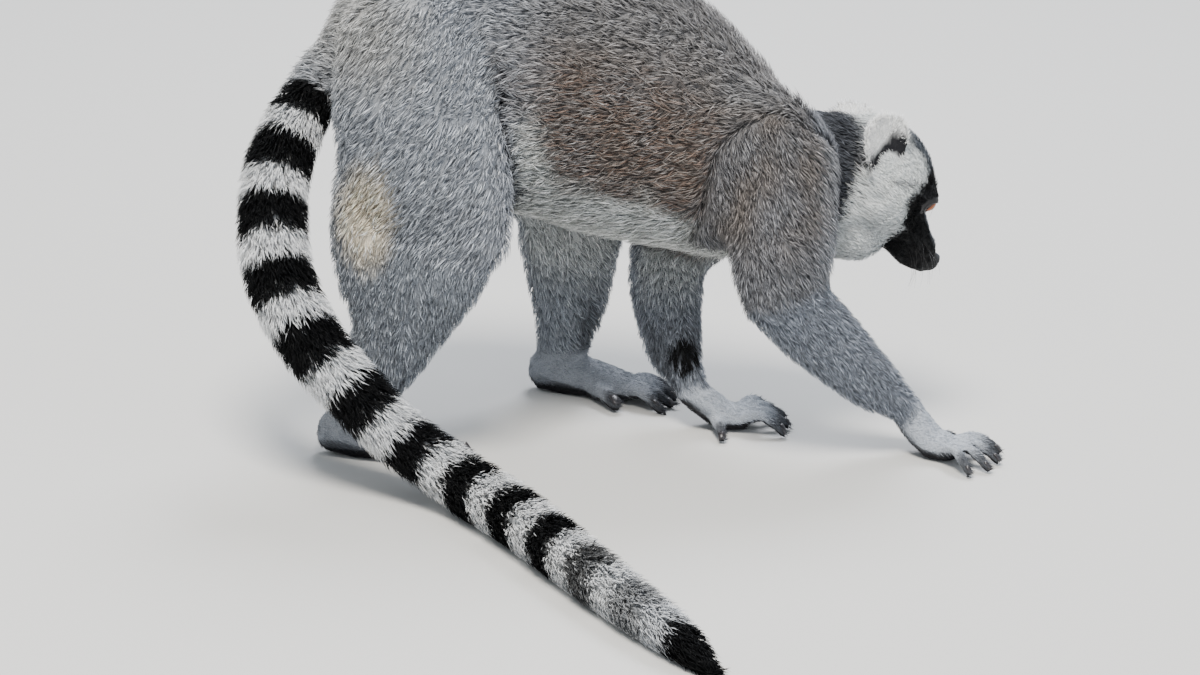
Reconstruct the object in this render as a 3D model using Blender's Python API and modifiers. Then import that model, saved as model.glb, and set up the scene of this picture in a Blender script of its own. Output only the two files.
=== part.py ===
"""A ring-tailed lemur (Lemur catta), life size, walking with its head down and its tail laid on the floor.

The body is modelled whole, as lofted masses melted together, and is then parted with thin cuts
into the parts that a person would name.  Units are metres, +X is forwards, +Y is the animal's
left and +Z is up.  The solids run out to the tips of the coat.
"""

from math import cos, pi, radians, sin

import bmesh
import bpy
from mathutils import Matrix, Vector

# ---------------------------------------------------------------- driving dimensions
VOXEL = 0.0012  # grid on which the masses melt together
TRIANGLES = 4100  # of the whole body, before it is parted
CUT = 0.0004  # width of the cut between two parts
FLAT_ENOUGH = 4.0  # degrees between facets that are joined into one
FLOOR = 0.0006  # height at which soles, pads and tail are planed flat

# Joints of the skeleton.  The right fore and hind limbs reach apart, the left ones stand under the belly.
SHOULDER = {"right": Vector((0.095, -0.034, 0.160)), "left": Vector((0.090, 0.032, 0.152))}
ELBOW = {"right": Vector((0.0935, -0.050, 0.097)), "left": Vector((0.0395, 0.036, 0.097))}
WRIST = {"right": Vector((0.1720, -0.029, 0.0255)), "left": Vector((0.0555, 0.003, 0.0235))}
HIP = {"right": Vector((-0.114, -0.036, 0.222)), "left": Vector((-0.098, 0.036, 0.215))}
KNEE = {"right": Vector((-0.083, -0.062, 0.131)), "left": Vector((-0.010, 0.055, 0.1205))}
ANKLE = {"right": Vector((-0.141, -0.056, 0.031)), "left": Vector((-0.0185, 0.060, 0.030))}
# Heading of each hand and foot on the floor, in degrees towards the animal's left, and of its fingers.
HAND_HEADING = {"right": -28.0, "left": 2.0}
FOOT_HEADING = {"right": -12.0, "left": -15.0}
TOE_TURN = {"right": -8.0, "left": -14.0}

# The head's own frame: its middle, how far the muzzle points down, and how far it turns left.
HEAD_MIDDLE = Vector((0.1555, 0.003, 0.1535))
HEAD_DOWN = radians(52.0)
HEAD_LEFT = radians(15.0)
EAR_ROOT = Vector((-0.0150, 0.0215, -0.0050))
# The right ear is turned back and outwards, the left one is out to the side and faces ahead.
EAR_RISE = {-1: Vector((-0.84, 0.15, 0.50)).normalized(), 1: Vector((-0.36, 0.76, 0.46)).normalized()}
EAR_FACES = {-1: Vector((0.40, 0.92, 0.0)), 1: Vector((0.80, 0.40, 0.0))}
EAR_LENGTH = 0.0320
EAR_HALF_WIDTH = 0.0134
EAR_WALL = 0.0034
EAR_DEPTH = 0.0080
EYE_RADIUS = 0.0068
EYE_PLACE = Vector((0.0212, 0.0148, 0.0062))
EYE_OUTWARD = 48.0  # degrees from straight ahead
SOCKET_GAP = 0.0003

# Trunk and neck: x, z of the middle, half depth and half width of each section, rump to nape.
TRUNK = (
    (-0.157, 0.214, 0.012, 0.014),
    (-0.147, 0.217, 0.028, 0.030),
    (-0.131, 0.2185, 0.045, 0.042),
    (-0.107, 0.2155, 0.060, 0.050),
    (-0.075, 0.210, 0.072, 0.055),
    (-0.040, 0.2025, 0.078, 0.058),
    (-0.008, 0.193, 0.078, 0.057),
    (0.021, 0.180, 0.074, 0.053),
    (0.048, 0.166, 0.065, 0.049),
    (0.074, 0.153, 0.054, 0.044),
    (0.094, 0.147, 0.044, 0.038),
)
NECK = (
    (0.070, 0.152, 0.038, 0.034),
    (0.100, 0.149, 0.041, 0.036),
    (0.122, 0.150, 0.038, 0.034),
    (0.142, 0.153, 0.034, 0.031),
    (0.158, 0.154, 0.024, 0.024),
)

# Tail: x, y, z of the middle of the coat and its half thickness, root to tip.
TAIL = (
    (-0.134, 0.000, 0.220, 0.0165),
    (-0.151, -0.002, 0.209, 0.0172),
    (-0.1655, -0.012, 0.191, 0.0182),
    (-0.1795, -0.031, 0.167, 0.0205),
    (-0.1850, -0.053, 0.142, 0.0210),
    (-0.1815, -0.077, 0.1105, 0.0215),
    (-0.1650, -0.099, 0.0820, 0.0205),
    (-0.1420, -0.111, 0.0580, 0.0198),
    (-0.1170, -0.121, 0.0360, 0.0190),
    (-0.0860, -0.141, 0.0200, 0.0184),
    (-0.0600, -0.181, 0.0171, 0.0178),
    (-0.0370, -0.231, 0.0163, 0.0171),
    (-0.0145, -0.281, 0.0152, 0.0160),
    (0.0070, -0.325, 0.0134, 0.0142),
    (0.0240, -0.355, 0.0097, 0.0104),
    (0.0320, -0.369, 0.0058, 0.0060),
)

TAIL_CUTS = (0.12, 0.25, 0.41, 0.57, 0.72, 0.86)
TAIL_CUT_RADIUS = 0.030

# Where each knee is cut: step from the joint to the middle of the cut, its normal and its radius.
KNEE_CUT = {
    "right": (Vector((-0.024, 0.006, -0.008)), Vector((-0.32, 0, -0.95)), 0.060),
    "left": (Vector((-0.010, 0, -0.006)), Vector((0.0, 0, -1.0)), 0.050),
}
# How far fore and aft the region of each upper arm and thigh reaches at its lower end.
ARM_FOOT = {"right": (0.033, 0.145), "left": (-0.005, 0.130)}
THIGH_FOOT = {"right": (-0.180, -0.030), "left": (-0.125, 0.030)}

COAT = (0.42, 0.40, 0.385, 1.0)
WHITE = (0.80, 0.79, 0.76, 1.0)
BLACK = (0.02, 0.02, 0.022, 1.0)
AMBER = (0.65, 0.26, 0.03, 1.0)


# ---------------------------------------------------------------- modelling helpers
def material(name, colour, roughness, metallic=0.0):
    made = bpy.data.materials.new(name)
    made.use_nodes = True
    shader = made.node_tree.nodes["Principled BSDF"]
    shader.inputs["Base Color"].default_value = colour
    shader.inputs["Roughness"].default_value = roughness
    shader.inputs["Metallic"].default_value = metallic
    return made


def smooth_between(keys, steps):
    """Rows of numbers read from a Catmull-Rom curve through the key rows, steps to each span."""
    rows = [keys[0], *keys, keys[-1]]
    found = []
    for i in range(1, len(rows) - 2):
        before, start, end, after = rows[i - 1 : i + 3]
        for k in range(steps):
            t = k / steps
            found.append(
                [
                    0.5 * (2 * b + (c - a) * t + (2 * a - 5 * b + 4 * c - d) * t * t
                           + (3 * b - a - 3 * c + d) * t**3)
                    for a, b, c, d in zip(before, start, end, after)
                ]
            )
    return [*found, list(keys[-1])]


def loft(into, stations, side=Vector((0, 1, 0)), steps=4, corners=36):
    """Adds to a bmesh a closed body through stations of (x, y, z, half depth, half width).

    The width of each section lies along side, and its depth across side and the line of the body.
    Both ends are domed.
    """
    rows = smooth_between(stations, steps)
    places = [Vector(row[:3]) for row in rows]
    rings = []
    for i, (place, row) in enumerate(zip(places, rows)):
        along = (places[min(i + 1, len(rows) - 1)] - places[max(i - 1, 0)]).normalized()
        across = (side - along * side.dot(along)).normalized()
        deep = along.cross(across)
        rings.append((place, along, across * row[4], deep * row[3], row[3]))
    dome = (0.42, 0.75, 0.94)
    first, last = rings[0], rings[-1]
    ends = []
    for (place, along, across, deep, radius), outward in ((first, -1), (last, 1)):
        ends.append(
            [
                (place + along * outward * radius * (1 - share**2) ** 0.5 * 0.8, along,
                 across * share, deep * share, radius)
                for share in dome
            ]
        )
    rings = [*ends[0], *rings, *ends[1][::-1]]
    loops = []
    for place, _, across, deep, _ in rings:
        turns = (2 * pi * k / corners for k in range(corners))
        loops.append([into.verts.new(place + across * cos(t) + deep * sin(t)) for t in turns])
    for low, high in zip(loops, loops[1:]):
        for k in range(corners):
            j = (k + 1) % corners
            into.faces.new((low[k], low[j], high[j], high[k]))
    for loop, (place, along, _, _, radius), outward in (
        (loops[0], first, -1),
        (loops[-1], last, 1),
    ):
        tip = into.verts.new(place + along * outward * radius * 0.8)
        for k in range(corners):
            pair = (loop[k], loop[(k + 1) % corners])
            into.faces.new((*pair, tip) if outward > 0 else (*pair[::-1], tip))


def blob(into, middle, radii, turn=Matrix()):
    """Adds to a bmesh an ellipsoid of these three radii, turned by the matrix turn."""
    placed = Matrix.Translation(middle) @ turn @ Matrix.Diagonal((*radii, 1))
    bmesh.ops.create_uvsphere(into, u_segments=28, v_segments=16, radius=1.0, matrix=placed)


def heading(degrees):
    return Vector((cos(radians(degrees)), sin(radians(degrees)), 0))


def finger(into, points, radii):
    """A digit as a round tube through its joints."""
    stations = [(*point, radius, radius) for point, radius in zip(points, radii)]
    loft(into, stations, side=Vector((0, 0, 1)), steps=3, corners=10)


def head_frame():
    forward = Vector(
        (cos(HEAD_DOWN) * cos(HEAD_LEFT), cos(HEAD_DOWN) * sin(HEAD_LEFT), -sin(HEAD_DOWN))
    )
    left = Vector((-sin(HEAD_LEFT), cos(HEAD_LEFT), 0))
    up = forward.cross(left)
    return Matrix.Translation(HEAD_MIDDLE) @ Matrix((forward, left, up)).transposed().to_4x4()


# ---------------------------------------------------------------- the masses of the body
def trunk_and_neck(body):
    loft(body, [(x, 0, z, deep, wide) for x, z, deep, wide in TRUNK])
    loft(body, [(x, 0.001 * i, z, deep, wide) for i, (x, z, deep, wide) in enumerate(NECK)])
    # The shoulder blades fill the side of the chest up to the withers.
    for side, way in (("right", -1), ("left", 1)):
        lean = Matrix.Rotation(radians(-28), 4, "Y")
        blob(body, SHOULDER[side] + Vector((-0.014, -way * 0.006, 0.010)), (0.040, 0.022, 0.046), lean)
    # White ruff of the throat, bunched up by the lowered head.
    blob(body, Vector((0.1375, 0.003, 0.122)), (0.024, 0.026, 0.021))


def fore_limb(body, side):
    way = -1 if side == "right" else 1
    shoulder, elbow, wrist = SHOULDER[side], ELBOW[side], WRIST[side]
    upper = elbow - shoulder
    loft(
        body,
        [
            (*(shoulder + Vector((0, 0, 0.012))), 0.030, 0.020),
            (*(shoulder + upper * 0.35 + Vector((-0.001, way * 0.002, 0))), 0.032, 0.021),
            (*(shoulder + upper * 0.72 + Vector((-0.001, way * 0.002, 0))), 0.031, 0.021),
            (*(elbow + Vector((0.001, 0, -0.002))), 0.025, 0.020),
        ],
    )
    fore = wrist - elbow
    # The left forearm stands nearly upright and bows back a little, the right one reaches forwards.
    bow = Vector((-0.0015, 0, -0.0020)) if side == "right" else Vector((-0.0075, 0, 0))
    loft(
        body,
        [
            (*(elbow - fore * 0.04), 0.0225, 0.0190),
            (*(elbow + fore * 0.25 + bow * 0.7), 0.0232, 0.0192),
            (*(elbow + fore * 0.50 + bow), 0.0205, 0.0175),
            (*(elbow + fore * 0.74 + bow), 0.0178, 0.0155),
            (*(elbow + fore * 0.90 + bow * 0.5), 0.0130, 0.0128),
            (*(wrist + fore * 0.02), 0.0100, 0.0110),
        ],
    )


def hind_limb(body, side):
    way = -1 if side == "right" else 1
    hip, knee, ankle = HIP[side], KNEE[side], ANKLE[side]
    thigh = knee - hip
    loft(
        body,
        [
            (*(hip + Vector((-0.004, way * 0.000, 0.012))), 0.038, 0.024),
            (*(hip + thigh * 0.30 + Vector((-0.006, way * 0.003, 0))), 0.047, 0.029),
            (*(hip + thigh * 0.62 + Vector((-0.005, way * 0.003, 0))), 0.047, 0.029),
            (*(hip + thigh * 0.90), 0.036, 0.025),
            (*(knee + Vector((0.003, 0, -0.004))), 0.028, 0.022),
        ],
    )
    shank = ankle - knee
    loft(
        body,
        [
            (*(knee - shank * 0.04), 0.027, 0.021),
            (*(knee + shank * 0.22 + Vector((-0.003, 0, 0))), 0.0325, 0.0225),
            (*(knee + shank * 0.50), 0.0280, 0.0205),
            (*(knee + shank * 0.76 + Vector((0.003, 0, 0))), 0.0232, 0.0182),
            (*(ankle + shank * 0.02 + Vector((0.002, 0, 0))), 0.0165, 0.0145),
        ],
    )
    # Long fur and the hamstrings fill the hollow behind the bent knee.
    seat = hip + Vector((-0.006, way * 0.006, -0.035))
    bend = (knee + ankle) / 2 if side == "right" else knee + Vector((-0.034, 0, 0.012))
    back = Vector((-1, 0, 0)) * (1.0 if side == "right" else 0.3)
    loft(
        body,
        [
            (*seat, 0.026, 0.019),
            (*(seat.lerp(bend, 0.35) + back * 0.009), 0.029, 0.021),
            (*(seat.lerp(bend, 0.70) + back * 0.012), 0.028, 0.020),
            (*(seat.lerp(bend, 1.00) + back * 0.008), 0.022, 0.017),
        ],
    )


def hand(body, side):
    """Palm and five digits, spread on the floor.  The thumb is on the inner side."""
    inner = 1 if side == "right" else -1
    wrist = WRIST[side]
    ahead = heading(HAND_HEADING[side])
    inward = Vector((-ahead.y, ahead.x, 0)) * inner
    palm = Vector((wrist.x, wrist.y, 0.0098)) + ahead * 0.014
    reach = [(*(wrist - ahead * 0.003), 0.0100, 0.0105), (*palm, 0.0090, 0.0130)]
    reach.append((*(palm + ahead * 0.013 + Vector((0, 0, -0.0030))), 0.0068, 0.0135))
    loft(body, reach, side=inward, steps=5, corners=20)
    lengths = (0.025, 0.028, 0.029, 0.026)
    for i, length in enumerate(lengths):
        spread = (20 - 19 * i) * inner
        way = heading(HAND_HEADING[side] + spread)
        root = palm + ahead * 0.012 + inward * (0.0095 - 0.0062 * i) + Vector((0, 0, -0.002))
        bends = ((0.42, 0.0042), (0.82, -0.0005), (1.0, -0.0042))
        joints = [root] + [root + way * length * share + Vector((0, 0, rise)) for share, rise in bends]
        finger(body, joints, (0.0046, 0.0041, 0.0037, 0.0033))
    way = heading(HAND_HEADING[side] + (62 if side == "right" else 88) * inner)
    root = palm - ahead * 0.002 + inward * 0.008 + Vector((0, 0, -0.003))
    finger(
        body,
        [root, root + way * 0.011 + Vector((0, 0, 0.001)), root + way * 0.0205 + Vector((0, 0, -0.0030))],
        (0.0046, 0.0041, 0.0034),
    )


def foot(body, side):
    """Long sole, four toes, and a broad great toe set apart on the inner side for gripping."""
    inner = 1 if side == "right" else -1
    ankle = ANKLE[side]
    ahead = heading(FOOT_HEADING[side])
    inward = Vector((-ahead.y, ahead.x, 0)) * inner
    heel = Vector((ankle.x, ankle.y, 0.0125)) - ahead * 0.008
    ball = heel + ahead * 0.049 + Vector((0, 0, -0.0040))
    loft(
        body,
        [
            (*(heel + Vector((0, 0, 0.001))), 0.0125, 0.0110),
            (*(heel + ahead * 0.016), 0.0130, 0.0125),
            (*(heel + ahead * 0.033 + Vector((0, 0, -0.0018))), 0.0105, 0.0128),
            (*ball, 0.0080, 0.0138),
        ],
        side=inward,
        corners=20,
    )
    loft(
        body,
        [(*(ankle + Vector((0, 0, 0.004))), 0.0145, 0.0135), (*(heel + ahead * 0.012), 0.0130, 0.0125)],
        side=inward,
        steps=6,
        corners=20,
    )
    lengths = (0.029, 0.031, 0.030, 0.026)
    for i, length in enumerate(lengths):
        way = heading(FOOT_HEADING[side] + TOE_TURN[side] + (10 - 12 * i) * inner)
        root = ball + inward * (0.0092 - 0.0066 * i) + Vector((0, 0, -0.0020)) - ahead * 0.002
        bends = ((0.45, 0.0036), (0.84, -0.0004), (1.0, -0.0036))
        joints = [root] + [root + way * length * share + Vector((0, 0, rise)) for share, rise in bends]
        finger(body, joints, (0.0050, 0.0045, 0.0041, 0.0036))
    way = heading(FOOT_HEADING[side] + 48 * inner)
    root = heel + ahead * 0.030 + inward * 0.007 + Vector((0, 0, -0.0055))
    finger(
        body,
        [root, root + way * 0.015 + Vector((0, 0, 0.001)), root + way * 0.027 + Vector((0, 0, -0.0015))],
        (0.0058, 0.0054, 0.0048),
    )


def tail(body):
    loft(body, [(x, y, z, r, r) for x, y, z, r in TAIL], side=Vector((0.55, 0.83, 0)), corners=24)


def head(body, frame):
    def add(middle, radii, turn=0.0):
        lean = frame.to_3x3().to_4x4() @ Matrix.Rotation(turn, 4, "Y")
        blob(body, frame @ Vector(middle), radii, lean)

    add((-0.003, 0, 0.000), (0.034, 0.030, 0.026))  # brain case
    add((0.014, 0, 0.004), (0.018, 0.021, 0.018))  # forehead and brow
    for way in (-1, 1):
        add((-0.002, way * 0.016, -0.013), (0.025, 0.015, 0.019))  # cheek ruff
        add((0.018, way * 0.0132, 0.0040), (0.0096, 0.0080, 0.0086))  # rim of the eye socket
        add((0.020, way * 0.0100, -0.0130), (0.016, 0.0085, 0.012))  # cheek bone under the eye
    muzzle = (
        (0.010, -0.0080, 0.0200, 0.0200),
        (0.022, -0.0105, 0.0185, 0.0170),
        (0.033, -0.0115, 0.0165, 0.0140),
        (0.045, -0.0120, 0.0138, 0.0118),
        (0.0545, -0.0105, 0.0115, 0.0100),
        (0.0600, -0.0080, 0.0085, 0.0078),
        (0.0618, -0.0050, 0.0042, 0.0046),
    )
    left = frame.to_3x3() @ Vector((0, 1, 0))
    stations = [(*(frame @ Vector((x, 0, z))), deep, wide) for x, z, deep, wide in muzzle]
    loft(body, stations, side=left)


def ear(frame, way, grow=0.0):
    """A leaf-shaped shell, hollow on its outer face, laid back along the head; grown for its socket."""
    shape = bmesh.new()
    rise = EAR_RISE[way].copy()
    rise.y *= way
    root = Vector((EAR_ROOT.x, way * EAR_ROOT.y, EAR_ROOT.z)) - rise * grow
    faces_to = Vector((EAR_FACES[way].x, way * EAR_FACES[way].y, EAR_FACES[way].z))
    out = (faces_to - rise * faces_to.dot(rise)).normalized()
    breadth = rise.cross(out)
    rows, columns = 9, 8
    sides = []
    for lift in (EAR_WALL / 2 + grow, -EAR_WALL / 2 - grow):
        grid = []
        for r in range(rows + 1):
            t = r / rows
            width = EAR_HALF_WIDTH * (0.72 + 0.62 * t - 0.10 * t * t) * (1 - t**3.6) ** 0.5
            width += 0.0012 + grow
            line = []
            for c in range(columns + 1):
                u = -1 + 2 * c / columns
                cup = EAR_DEPTH * (u * width / EAR_HALF_WIDTH) ** 2 * (1 - 0.5 * t)
                cup -= 0.003 * t * (1 - t)
                spot = root + rise * ((EAR_LENGTH + 2 * grow) * t) + breadth * u * width + out * (cup + lift)
                line.append(shape.verts.new(frame @ spot))
            grid.append(line)
        sides.append(grid)
    front, back = sides
    for r in range(rows):
        for c in range(columns):
            shape.faces.new((front[r][c], front[r][c + 1], front[r + 1][c + 1], front[r + 1][c]))
            shape.faces.new((back[r][c], back[r + 1][c], back[r + 1][c + 1], back[r][c + 1]))
        shape.faces.new((front[r][0], front[r + 1][0], back[r + 1][0], back[r][0]))
        shape.faces.new((front[r][columns], back[r][columns], back[r + 1][columns], front[r + 1][columns]))
    for c in range(columns):
        shape.faces.new((front[0][c], back[0][c], back[0][c + 1], front[0][c + 1]))
        shape.faces.new((front[rows][c], front[rows][c + 1], back[rows][c + 1], back[rows][c]))
    bmesh.ops.triangulate(shape, faces=shape.faces)
    return shape


# ---------------------------------------------------------------- melting, cutting and naming
def as_object(name, shape, collection):
    bmesh.ops.recalc_face_normals(shape, faces=shape.faces)
    mesh = bpy.data.meshes.new(name)
    shape.to_mesh(mesh)
    shape.free()
    made = bpy.data.objects.new(name, mesh)
    collection.objects.link(made)
    return made


def settle(obj):
    """Applies an object's modifiers."""
    bpy.context.view_layer.update()
    graph = bpy.context.evaluated_depsgraph_get()
    solid = bpy.data.meshes.new_from_object(obj.evaluated_get(graph))
    obj.modifiers.clear()
    obj.data = solid


def whole_body(frame, collection):
    """All masses melted into one skin and softened, with the digits and ears added crisp."""
    masses = bmesh.new()
    trunk_and_neck(masses)
    tail(masses)
    for side in ("right", "left"):
        fore_limb(masses, side)
        hind_limb(masses, side)
    soft = as_object("masses", masses, collection)
    melt = soft.modifiers.new("melt", "REMESH")
    melt.mode, melt.voxel_size = "VOXEL", 2 * VOXEL
    soften = soft.modifiers.new("soften", "SMOOTH")
    soften.factor, soften.iterations = 0.5, 22
    settle(soft)

    fine = bmesh.new()
    fine.from_mesh(soft.data)
    bpy.data.objects.remove(soft)
    head(fine, frame)
    for side in ("right", "left"):
        hand(fine, side)
        foot(fine, side)
    body = as_object("body", fine, collection)
    melt = body.modifiers.new("melt", "REMESH")
    melt.mode, melt.voxel_size = "VOXEL", VOXEL
    soften = body.modifiers.new("soften", "SMOOTH")
    soften.factor, soften.iterations = 0.5, 3
    settle(body)
    thin = body.modifiers.new("thin", "DECIMATE")
    thin.ratio = TRIANGLES / (2 * len(body.data.polygons))
    settle(body)
    return body


def slab(body, middle, normal, radius):
    """Parts the body with one thin round cut."""
    turn = Vector(normal).normalized().to_track_quat("Z", "Y").to_matrix().to_4x4()
    shape = bmesh.new()
    bmesh.ops.create_cone(
        shape, cap_ends=True, segments=24, radius1=radius, radius2=radius, depth=CUT,
        matrix=Matrix.Translation(middle) @ turn,
    )
    subtract(body, as_object("cut", shape, body.users_collection[0]))


def subtract(body, cutter):
    cut = body.modifiers.new("cut", "BOOLEAN")
    cut.operation, cut.object, cut.solver = "DIFFERENCE", cutter, "EXACT"
    settle(body)
    bpy.data.objects.remove(cutter)


def part_with_slabs(body, frame):
    """The cuts that go right through the head, limbs and tail."""
    turned = frame.to_3x3()
    slab(body, frame @ Vector((-0.022, 0, -0.012)), turned @ Vector((0.80, 0, 0.60)), 0.060)
    slab(body, frame @ Vector((0.0375, 0, -0.022)), turned @ Vector((1, 0, 0.25)), 0.0415)
    slab(body, frame @ Vector((0.0580, 0, -0.009)), turned @ Vector((1, 0, 0.10)), 0.015)
    for side in ("right", "left"):
        shoulder, elbow, wrist = SHOULDER[side], ELBOW[side], WRIST[side]
        upper, fore = elbow - shoulder, wrist - elbow
        slab(body, elbow, upper.normalized() + fore.normalized(), 0.036)
        slab(body, wrist, fore, 0.019)
        knee, ankle = KNEE[side], ANKLE[side]
        slab(body, knee + KNEE_CUT[side][0], KNEE_CUT[side][1], KNEE_CUT[side][2])
        slab(body, ankle, (ankle - knee).normalized() + Vector((0, 0, -1.5)), 0.028)
    rows = smooth_between(TAIL, 6)
    for share in TAIL_CUTS:
        i = round(share * (len(rows) - 1))
        slab(body, Vector(rows[i][:3]), Vector(rows[i + 1][:3]) - Vector(rows[i - 1][:3]), TAIL_CUT_RADIUS)


def hull(points, grow, collection):
    """The tightest convex body round these points, grown by this much."""
    shape = bmesh.new()
    reach = [Vector()]
    if grow:
        reach = [Vector(way) * grow for way in ((1, 0, 0), (0, 1, 0), (0, 0, 1))]
        reach += [-step for step in reach]
    for point in points:
        for step in reach:
            shape.verts.new(point + step)
    found = bmesh.ops.convex_hull(shape, input=shape.verts)
    spare = list(set(found["geom_interior"] + found["geom_unused"]))
    bmesh.ops.delete(shape, geom=spare, context="VERTS")
    return as_object("hull", shape, collection)


def take_out(body, points, name, collection):
    """Takes the part of the body inside a convex region away as its own object."""
    piece = bpy.data.objects.new(name, body.data.copy())
    collection.objects.link(piece)
    keep = piece.modifiers.new("keep", "BOOLEAN")
    region = hull(points, 0, collection)
    keep.operation, keep.object, keep.solver = "INTERSECT", region, "EXACT"
    settle(piece)
    bpy.data.objects.remove(region)
    subtract(body, hull(points, CUT, collection))
    return piece


def limb_region(way, middle, radius, foot_x, foot_z, inner):
    """A region that is round over the top of a limb and widens downwards, outside a leaning plane."""
    points = []
    outline = [(middle[0] + radius * cos(pi * k / 10), middle[1] + radius * sin(pi * k / 10)) for k in range(11)]
    for x, z in [*outline, (foot_x[0], foot_z), (foot_x[1], foot_z)]:
        points.append(Vector((x, way * (inner[0] + inner[1] * z), z)))
        points.append(Vector((x, way * 0.12, z)))
    return points


def eye_ball(frame, way, radius):
    """A ball at the place of an eye, its pole turned the way the eye looks."""
    place = frame @ Vector((EYE_PLACE.x, way * EYE_PLACE.y, EYE_PLACE.z))
    looks = Matrix.Rotation(radians(way * EYE_OUTWARD), 4, "Z") @ Matrix.Rotation(pi / 2, 4, "Y")
    placed = Matrix.Translation(place) @ frame.to_3x3().to_4x4() @ looks
    ball = bmesh.new()
    bmesh.ops.create_uvsphere(ball, u_segments=18, v_segments=12, radius=radius, matrix=placed)
    return ball


def floor_plane(collection):
    shape = bmesh.new()
    placed = Matrix.Translation((0, -0.15, FLOOR - 0.01)) @ Matrix.Diagonal((0.7, 0.7, 0.02, 1))
    bmesh.ops.create_cube(shape, size=1, matrix=placed)
    return as_object("floor", shape, collection)


def anchors(frame):
    """A point near the middle of each named part."""
    found = {
        "head": frame @ Vector((0.0, 0, 0.0)),
        "muzzle": frame @ Vector((0.045, 0, -0.009)),
        "nose": frame @ Vector((0.062, 0, -0.006)),
        "trunk": Vector((-0.020, 0, 0.195)),
    }
    for side in ("right", "left"):
        found[f"forearm_{side}"] = ELBOW[side].lerp(WRIST[side], 0.5)
        ahead = heading(HAND_HEADING[side])
        found[f"hand_{side}"] = WRIST[side] + ahead * 0.022 - Vector((0, 0, 0.018))
        found[f"shin_{side}"] = KNEE[side].lerp(ANKLE[side], 0.5)
        ahead = heading(FOOT_HEADING[side])
        found[f"foot_{side}"] = ANKLE[side] + ahead * 0.035 - Vector((0, 0, 0.022))
    rows = smooth_between(TAIL, 6)
    ends = [*TAIL_CUTS, 1.0]
    for k, (start, end) in enumerate(zip(ends, ends[1:])):
        i = round((start + end) / 2 * (len(rows) - 1))
        found[f"tail_{k + 1}"] = Vector(rows[i][:3])
    return found


def loose_pieces(body):
    """The body as a list of new meshes, one for each piece that hangs together, largest first."""
    whole = bmesh.new()
    whole.from_mesh(body.data)
    whole.verts.ensure_lookup_table()
    seen = set()
    pieces = []
    for start in whole.verts:
        if start.index in seen:
            continue
        seen.add(start.index)
        stack, group = [start], []
        while stack:
            vert = stack.pop()
            group.append(vert)
            for edge in vert.link_edges:
                other = edge.other_vert(vert)
                if other.index not in seen:
                    seen.add(other.index)
                    stack.append(other)
        group.sort(key=lambda v: v.index)
        piece = bmesh.new()
        copies = {v: piece.verts.new(v.co) for v in group}
        faces = sorted({face for v in group for face in v.link_faces}, key=lambda f: f.index)
        for face in faces:
            piece.faces.new([copies[v] for v in face.verts])
        pieces.append(piece)
    whole.free()
    return sorted(pieces, key=lambda piece: -len(piece.verts))


def part_named(body, frame, collection):
    """Splits the parted body into its loose pieces and names each after the nearest anchor."""
    points = anchors(frame)
    pieces = loose_pieces(body)
    bpy.data.objects.remove(body)
    middles = [sum((v.co for v in piece.verts), Vector()) / len(piece.verts) for piece in pieces]
    pairs = sorted(
        ((middle - place).length, i, name)
        for i, middle in enumerate(middles)
        for name, place in points.items()
    )
    made, used = {}, set()
    for distance, i, name in pairs:
        if i in used or name in made or distance > 0.06:
            continue
        used.add(i)
        made[name] = as_object(name, pieces[i], collection)
    return made


def tidy(part):
    """Joins facets that lie almost in one plane, then splits the rest into triangles."""
    shape = bmesh.new()
    shape.from_mesh(part.data)
    bmesh.ops.dissolve_degenerate(shape, edges=shape.edges, dist=0.00002)
    bmesh.ops.dissolve_limit(
        shape, angle_limit=radians(FLAT_ENOUGH), verts=shape.verts, edges=shape.edges
    )
    bmesh.ops.triangulate(shape, faces=shape.faces)
    bmesh.ops.recalc_face_normals(shape, faces=shape.faces)
    shape.to_mesh(part.data)
    shape.free()


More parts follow.
